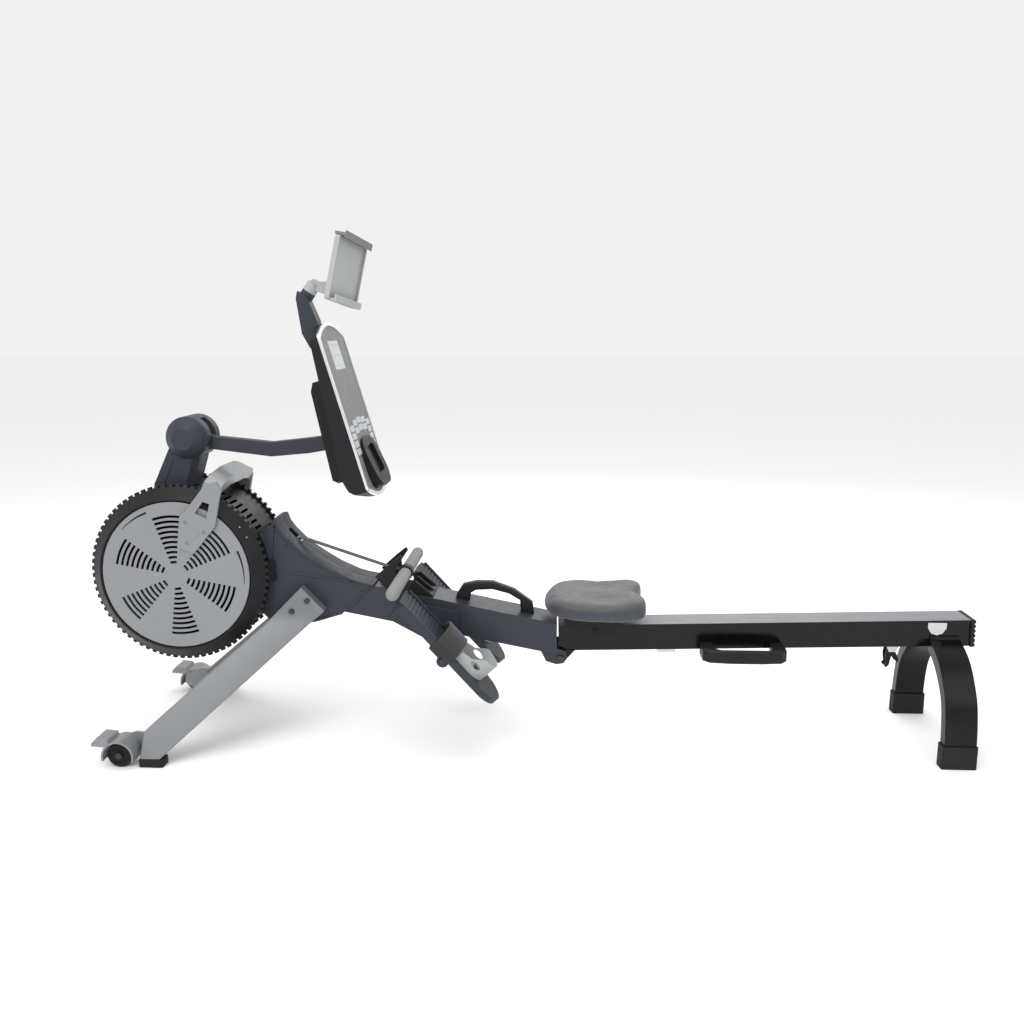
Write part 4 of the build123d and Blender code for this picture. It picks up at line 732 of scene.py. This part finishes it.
class ROWER_OT_frame(RowerOperator):
    """Finish the tube, the mast, the legs, feet, fenders and wheels"""
    bl_idname = "rower.frame_parts"
    bl_label = "Frame"

    def execute(self, context):
        self.round_all(("main_frame",), "tube", 0.004)
        self.round_all(("front_leg_left", "front_leg_right"), "leg", 0.003)
        self.round_all(("console_mast", "console_arm"), "slate", 0.0022)
        self.round_all(("hub_caps",), "slate", 0.002)
        self.round_all(("handle_cradle", "carry_handle"), "black", 0.0015)
        self.round_all(("pedal_bracket",), "tube", 0.001)
        self.round_all(("wheel_fenders",), "silver", 0.0016)
        self.round_all(("front_foot_pads",), "rubber", 0.0025)
        self.round_all(("frame_bolts", "fold_pin"), "dark steel", 0.0006)
        return self.round_all(("transport_wheel_left", "transport_wheel_right"),
                              "rubber", 0.001)


class ROWER_OT_rail(RowerOperator):
    """Finish the rail, its cap, handle, legs, feet and latch"""
    bl_idname = "rower.rail"
    bl_label = "Rail"

    def execute(self, context):
        self.round_all(("rail",), "rail", 0.0012)
        self.round_all(("rear_leg_left", "rear_leg_right"), "gloss", 0.004)
        self.round_all(("rail_end_cap", "rail_handle", "latch_hooks"), "black")
        self.round_all(("rear_feet",), "rubber", 0.003)
        return self.round_all(("rail_fittings",), "zinc", 0.0006)


class ROWER_OT_console(RowerOperator):
    """Finish the console and its keys"""
    bl_idname = "rower.console"
    bl_label = "Console"

    def execute(self, context):
        self.round_all(("console_back",), "black", 0.004, segments=3)
        self.round_all(("console_bezel",), "trim", 0.0016)
        self.round_all(("console_face",), "grey", 0.001)
        self.round_all(("console_pod",), "black", 0.001)
        self.round_all(("console_keys",), "keys", 0.0007)
        paint_node("console_screen", "display")
        return {"FINISHED"}


class ROWER_OT_tablet_holder(RowerOperator):
    """Finish the tablet holder"""
    bl_idname = "rower.tablet_holder"
    bl_label = "Tablet holder"

    def execute(self, context):
        self.round_all(("tablet_arm",), "slate")
        self.round_all(("tablet_clip",), "grey")
        return self.round_all(("tablet_tray",), "cup")


# distance from the middle of the bar, and radius there
GRIP_SHAPE = ((0.017, 0.0135), (0.0175, 0.0152), (0.019, 0.0160), (0.060, 0.0158),
              (0.110, 0.0160), (0.160, 0.0158), (0.206, 0.0160), (0.214, 0.0154),
              (0.2205, 0.0137), (0.2250, 0.0103), (0.2275, 0.0056), (0.2282, 0.0))


class ROWER_OT_pull_bar(RowerOperator):
    """Make the foam grips and finish the bar"""
    bl_idname = "rower.pull_bar"
    bl_label = "Pull bar"

    def execute(self, context):
        rounded("handlebar", "black", 0.001)
        bm = bmesh.new()
        for sign in (-1, 1):
            rim = [bm.verts.new((BAR.x + radius, sign * y, BAR.z))
                   for y, radius in GRIP_SHAPE]
            line = [bm.edges.new(pair) for pair in zip(rim, rim[1:])]
            bmesh.ops.spin(bm, geom=rim + line, cent=BAR, axis=(0, 1, 0), steps=48,
                           angle=math.tau, use_merge=True)
        bmesh.ops.remove_doubles(bm, verts=bm.verts, dist=1e-5)
        bmesh.ops.holes_fill(bm, edges=bm.edges, sides=0)
        bmesh.ops.recalc_face_normals(bm, faces=bm.faces)
        grips = place_piece(mesh_from(bm, "foam_grips"), "foam_grips", "foam", "handle",
                            ("handle_grips",))
        return {"FINISHED"}


class ROWER_OT_footrests(RowerOperator):
    """Finish the footrests, heel cups and toe straps"""
    bl_idname = "rower.footrests"
    bl_label = "Footrests"

    def execute(self, context):
        for side in ("left", "right"):
            rounded(f"pedal_{side}", "slate", 0.002)
            rounded(f"heel_cup_{side}", "cup", 0.0012)
            rounded(f"toe_strap_{side}", "webbing", 0.0008)
        return {"FINISHED"}


SEAT_PLAN = ((-0.135, 0.0), (-0.127, -0.072), (-0.092, -0.124), (-0.020, -0.140),
             (0.060, -0.141), (0.112, -0.128), (0.134, -0.082), (0.116, -0.018),
             (0.116, 0.018), (0.134, 0.082), (0.112, 0.128), (0.060, 0.141),
             (-0.020, 0.140), (-0.092, 0.124), (-0.127, 0.072))
# height of each layer of the seat, and its share of the plan
SEAT_LAYERS = ((0.3408, 0.74), (0.3365, 0.80), (0.3345, 0.90), (0.3365, 0.975),
               (0.3450, 1.0), (0.3600, 1.0), (0.3690, 0.985), (0.3745, 0.945),
               (0.3765, 0.88))
# width and depth of each step in from the top layer's edge
SEAT_CROWN = ((0.026, 0.0010), (0.026, -0.0005), (0.022, -0.0008))
SADDLE_FROM = 0.3550
SWELL_FRAMES = 20


def saddle(x, y, z):
    """Height of the seat's skin once it is dished to fit a rower."""
    if z < SADDLE_FROM:
        return z
    share = min(1, (z - SADDLE_FROM) / 0.012)
    rise = 0.0085 * math.exp(-((x - 0.115) / 0.045) ** 2) * min(1, abs(y) / 0.05)
    dip = 0.0075 * math.exp(-((x - 0.02) / 0.055) ** 2) * math.exp(
        -((abs(y) - 0.065) / 0.055) ** 2)
    nose = 0.010 * max(0, (-x - 0.085) / 0.05) ** 1.5
    return z + share * (rise - dip - nose)


def inflate(piece, voxel, cap):
    """Swells a closed shape as a stuffed skin, each point by at most cap."""
    remesh = piece.modifiers.new("skin", "REMESH")
    remesh.mode = "VOXEL"
    remesh.voxel_size = voxel
    bpy.context.view_layer.objects.active = piece
    bpy.ops.object.select_all(action="DESELECT")
    piece.select_set(True)
    for name in [m.name for m in piece.modifiers]:
        bpy.ops.object.modifier_apply(modifier=name)
    start = [v.co.copy() for v in piece.data.vertices]
    cloth = piece.modifiers.new("cloth", "CLOTH")
    cloth.settings.use_pressure = True
    cloth.settings.uniform_pressure_force = 4
    cloth.settings.effector_weights.gravity = 0
    cloth.settings.tension_stiffness = 25
    cloth.point_cache.frame_start = 1
    cloth.point_cache.frame_end = SWELL_FRAMES
    scene = bpy.context.scene
    for step in range(1, SWELL_FRAMES + 1):
        scene.frame_set(step)
        bpy.context.view_layer.update()
    swollen = piece.evaluated_get(bpy.context.evaluated_depsgraph_get())
    ends = [v.co.copy() for v in swollen.data.vertices]
    piece.modifiers.remove(cloth)
    scene.frame_set(1)
    for vert, first, last in zip(piece.data.vertices, start, ends):
        move = last - first
        if move.length > cap:
            move = move.normalized() * cap
        vert.co = first + move


class ROWER_OT_seat(RowerOperator):
    """Make the padded seat and finish its carriage and rollers"""
    bl_idname = "rower.seat"
    bl_label = "Seat"

    def execute(self, context):
        low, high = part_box("seat_cushion")
        bm = bmesh.new()
        base, scale = SEAT_LAYERS[0]
        ring = [bm.verts.new((SEAT_MIDDLE + x * scale, y * scale, base))
                for x, y in SEAT_PLAN]
        first = face = bm.faces.new(ring)
        middle = Vector((SEAT_MIDDLE, 0, 0))
        for height, share in SEAT_LAYERS[1:]:
            grown = bmesh.ops.extrude_face_region(bm, geom=[face])
            moved = [g for g in grown["geom"] if isinstance(g, bmesh.types.BMVert)]
            for vert in moved:
                flat = (vert.co - middle) * (share / scale)
                vert.co = Vector((SEAT_MIDDLE + flat.x, flat.y, height))
            scale = share
            if face is not first:
                bm.faces.remove(face)
            face = next(g for g in grown["geom"] if isinstance(g, bmesh.types.BMFace))
        for thickness, depth in SEAT_CROWN:
            bmesh.ops.inset_region(bm, faces=[face], thickness=thickness, depth=depth)
        bmesh.ops.recalc_face_normals(bm, faces=bm.faces)
        piece = place_piece(mesh_from(bm, "padded_seat"), "padded_seat", "vinyl",
                            "seat", ("seat_cushion",))
        round_off = piece.modifiers.new("round", "SUBSURF")
        round_off.levels = round_off.render_levels = 3
        inflate(piece, self.sizes.seat_voxel, self.sizes.seat_cap)
        relax = piece.modifiers.new("settle", "SMOOTH")
        relax.factor, relax.iterations = 0.5, 6
        even = piece.modifiers.new("even", "SUBSURF")
        even.levels = even.render_levels = 1
        for vert in piece.data.vertices:
            vert.co.z = saddle(vert.co.x - SEAT_MIDDLE, vert.co.y, vert.co.z)
            vert.co.z = min(max(vert.co.z, low.z), high.z)
        for polygon in piece.data.polygons:
            polygon.use_smooth = True
        rounded("seat_carriage", "black", 0.001)
        return self.round_all(("seat_rollers_front", "seat_rollers_rear"), "rubber",
                              0.0008)


# ------------------------------------------------------------------ panel
STEPS = (ROWER_OT_stage, ROWER_OT_pull_strap, ROWER_OT_neck_covers, ROWER_OT_fan,
         ROWER_OT_frame, ROWER_OT_rail, ROWER_OT_console, ROWER_OT_tablet_holder,
         ROWER_OT_pull_bar, ROWER_OT_footrests, ROWER_OT_seat)


class ROWER_PT_sidebar(bpy.types.Panel):
    """Lists the rower's settings and the steps that build it"""
    bl_label = "Folding air rower"
    bl_idname = "ROWER_PT_sidebar"
    bl_space_type = "VIEW_3D"
    bl_region_type = "UI"
    bl_category = "Rower"

    def draw(self, context):
        for group in (context.scene.rower_colours, context.scene.rower_sizes):
            for name in group.__annotations__:
                self.layout.prop(group, name)
        for step in STEPS:
            self.layout.operator(step.bl_idname)


CLASSES = (RowerColours, RowerSizes, *STEPS, ROWER_PT_sidebar)


def register():
    for cls in CLASSES:
        bpy.utils.register_class(cls)
    bpy.types.Scene.rower_colours = bpy.props.PointerProperty(type=RowerColours)
    bpy.types.Scene.rower_sizes = bpy.props.PointerProperty(type=RowerSizes)


def unregister():
    del bpy.types.Scene.rower_sizes
    del bpy.types.Scene.rower_colours
    for cls in reversed(CLASSES):
        bpy.utils.unregister_class(cls)


def main():
    register()
    mix_finishes(bpy.context.scene.rower_colours)
    for step in STEPS:
        group, name = step.bl_idname.split(".")
        getattr(getattr(bpy.ops, group), name)()


if __name__ == "__main__":
    main()
